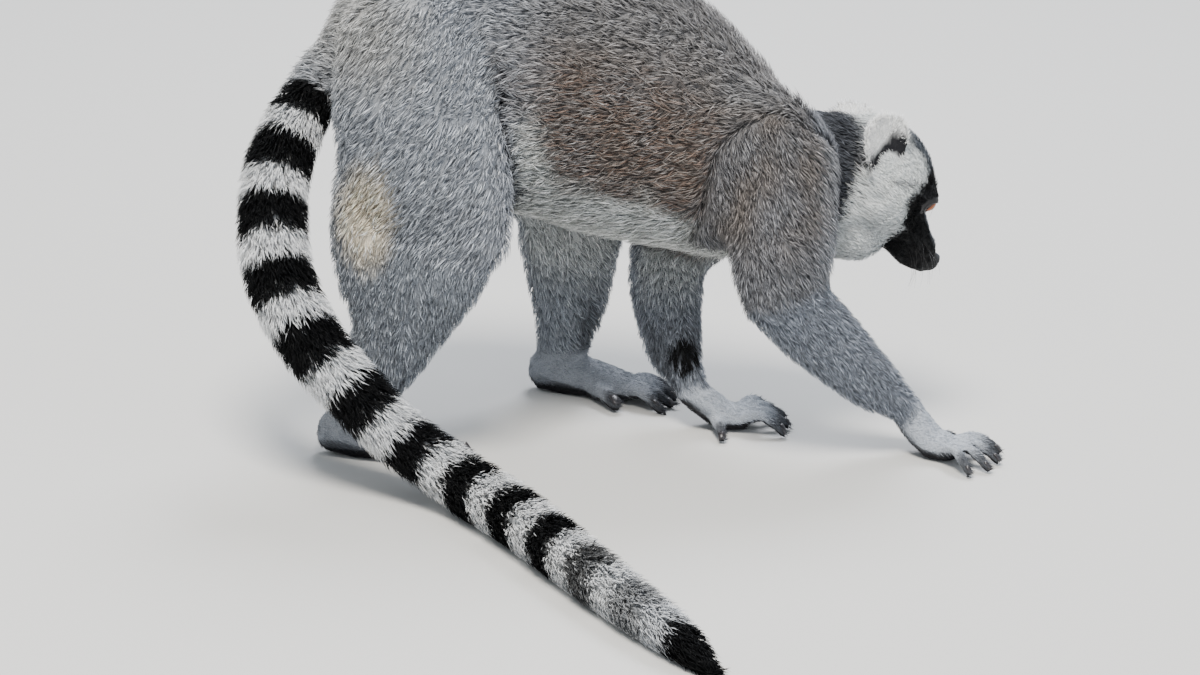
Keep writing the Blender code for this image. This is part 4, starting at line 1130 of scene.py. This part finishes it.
# Stiff horn-like bristle: smooth, dark, and paler in stretches of about 3 mm.
BRISTLE_MM = 3.3
bristle, tree, shader = new_material("Whisker_Bristle", Specular_IOR_Level=0.5)
place = add_node(tree, "ShaderNodeTexCoord")
along = add_node(
    tree, "ShaderNodeTexNoise", {"Vector": place.outputs["Object"], "Scale": 1000 / BRISTLE_MM}
)
tint = add_node(tree, "ShaderNodeValToRGB", {"Fac": along.outputs["Fac"]})
tint.color_ramp.elements[0].color = (*linear("0C0C0E"), 1)
tint.color_ramp.elements[1].color = (*linear("2E2C2B"), 1)
tree.links.new(tint.outputs["Color"], shader.inputs["Base Color"])
dull = add_node(
    tree, "ShaderNodeMapRange", {"Value": along.outputs["Fac"], "To Min": 0.3, "To Max": 0.5}
)
tree.links.new(dull.outputs["Result"], shader.inputs["Roughness"])
mesh = bpy.data.meshes.new("whiskers")
mesh.from_pydata([tuple(p) for p in stalks], [], faces)
mesh.shade_smooth()
add_piece("whiskers", mesh, bristle)


# ---------------------------------------------------------------- the nails
# A flat dark nail on the tip of every finger and toe, and the one long grooming claw of the second
# toe. Each lies in the skin over the last joint and ends just past the fingertip.
NAIL_ROWS, NAIL_COLUMNS, NAIL_THICKNESS = 6, 7, 0.0006
ROW_STEP = 2 * NAIL_COLUMNS
corners, faces = [], []
for tip, aim, wide, longer in tips:
    aim = Vector(aim)
    over = Vector((0, 0, 1)).cross(aim)
    end = None
    for back_off in (0.0, 0.0015, 0.003, 0.0045):
        hit = hide_tree.ray_cast(Vector((tip[0], tip[1], 0.016)) - aim * back_off, Vector((0, 0, -1)))
        if hit[0] is not None and hit[0].z > 0.0035:
            end = hit
            break
    if end is None:
        continue
    start = len(corners)
    run = wide * 1.25 + longer
    tilt_down = (aim - end[1] * aim.dot(end[1])).normalized()
    for row in range(NAIL_ROWS):
        t = row / (NAIL_ROWS - 1)
        spread_out = wide / 2 * (0.75 + 0.6 * t - 0.55 * t**3) * (1 - 0.6 * t * (longer > 0))
        base = end[0] - tilt_down * (run * 0.62) + tilt_down * run * t
        base += end[1] * (0.00035 + 0.0003 * sin(pi * t))
        base -= Vector((0, 0, 1)) * (0.0010 + longer * 0.5) * t * t
        for k in range(NAIL_COLUMNS):
            q = 2 * k / (NAIL_COLUMNS - 1) - 1
            top = base + over * spread_out * q - end[1] * 0.0008 * q * q
            corners += [top, top - end[1] * NAIL_THICKNESS]
    # The top and the underside, then the two sides, then the root and the tip.
    for row in range(NAIL_ROWS - 1):
        for k in range(NAIL_COLUMNS - 1):
            a = start + row * ROW_STEP + 2 * k
            b = a + ROW_STEP
            faces += [(a, a + 2, b + 2, b), (a + 1, b + 1, b + 3, a + 3)]
    for row in range(NAIL_ROWS - 1):
        a = start + row * ROW_STEP
        b = a + ROW_STEP - 2
        faces += [(a, a + ROW_STEP, a + ROW_STEP + 1, a + 1), (b, b + 1, b + ROW_STEP + 1, b + ROW_STEP)]
    for k in range(NAIL_COLUMNS - 1):
        a = start + 2 * k
        b = a + (NAIL_ROWS - 1) * ROW_STEP
        faces += [(a, a + 1, a + 3, a + 2), (b, b + 2, b + 3, b + 1)]
# Dark horn with a low polish, clouded every millimetre or so.
CLOUD_MM = 1.1
horn, tree, shader = new_material("Dark_Horn_Nail", Specular_IOR_Level=0.6)
place = add_node(tree, "ShaderNodeTexCoord")
clouds = add_node(
    tree, "ShaderNodeTexNoise", {"Vector": place.outputs["Object"], "Scale": 1000 / CLOUD_MM}
)
tint = add_node(tree, "ShaderNodeValToRGB", {"Fac": clouds.outputs["Fac"]})
tint.color_ramp.elements[0].color = (*linear("17161A"), 1)
tint.color_ramp.elements[1].color = (*linear("3A3638"), 1)
tree.links.new(tint.outputs["Color"], shader.inputs["Base Color"])
dull = add_node(
    tree, "ShaderNodeMapRange", {"Value": clouds.outputs["Fac"], "To Min": 0.22, "To Max": 0.45}
)
tree.links.new(dull.outputs["Result"], shader.inputs["Roughness"])
mesh = bpy.data.meshes.new("nails")
mesh.from_pydata([tuple(p) for p in corners], [], faces)
mesh.shade_smooth()
add_piece("nails", mesh, horn)
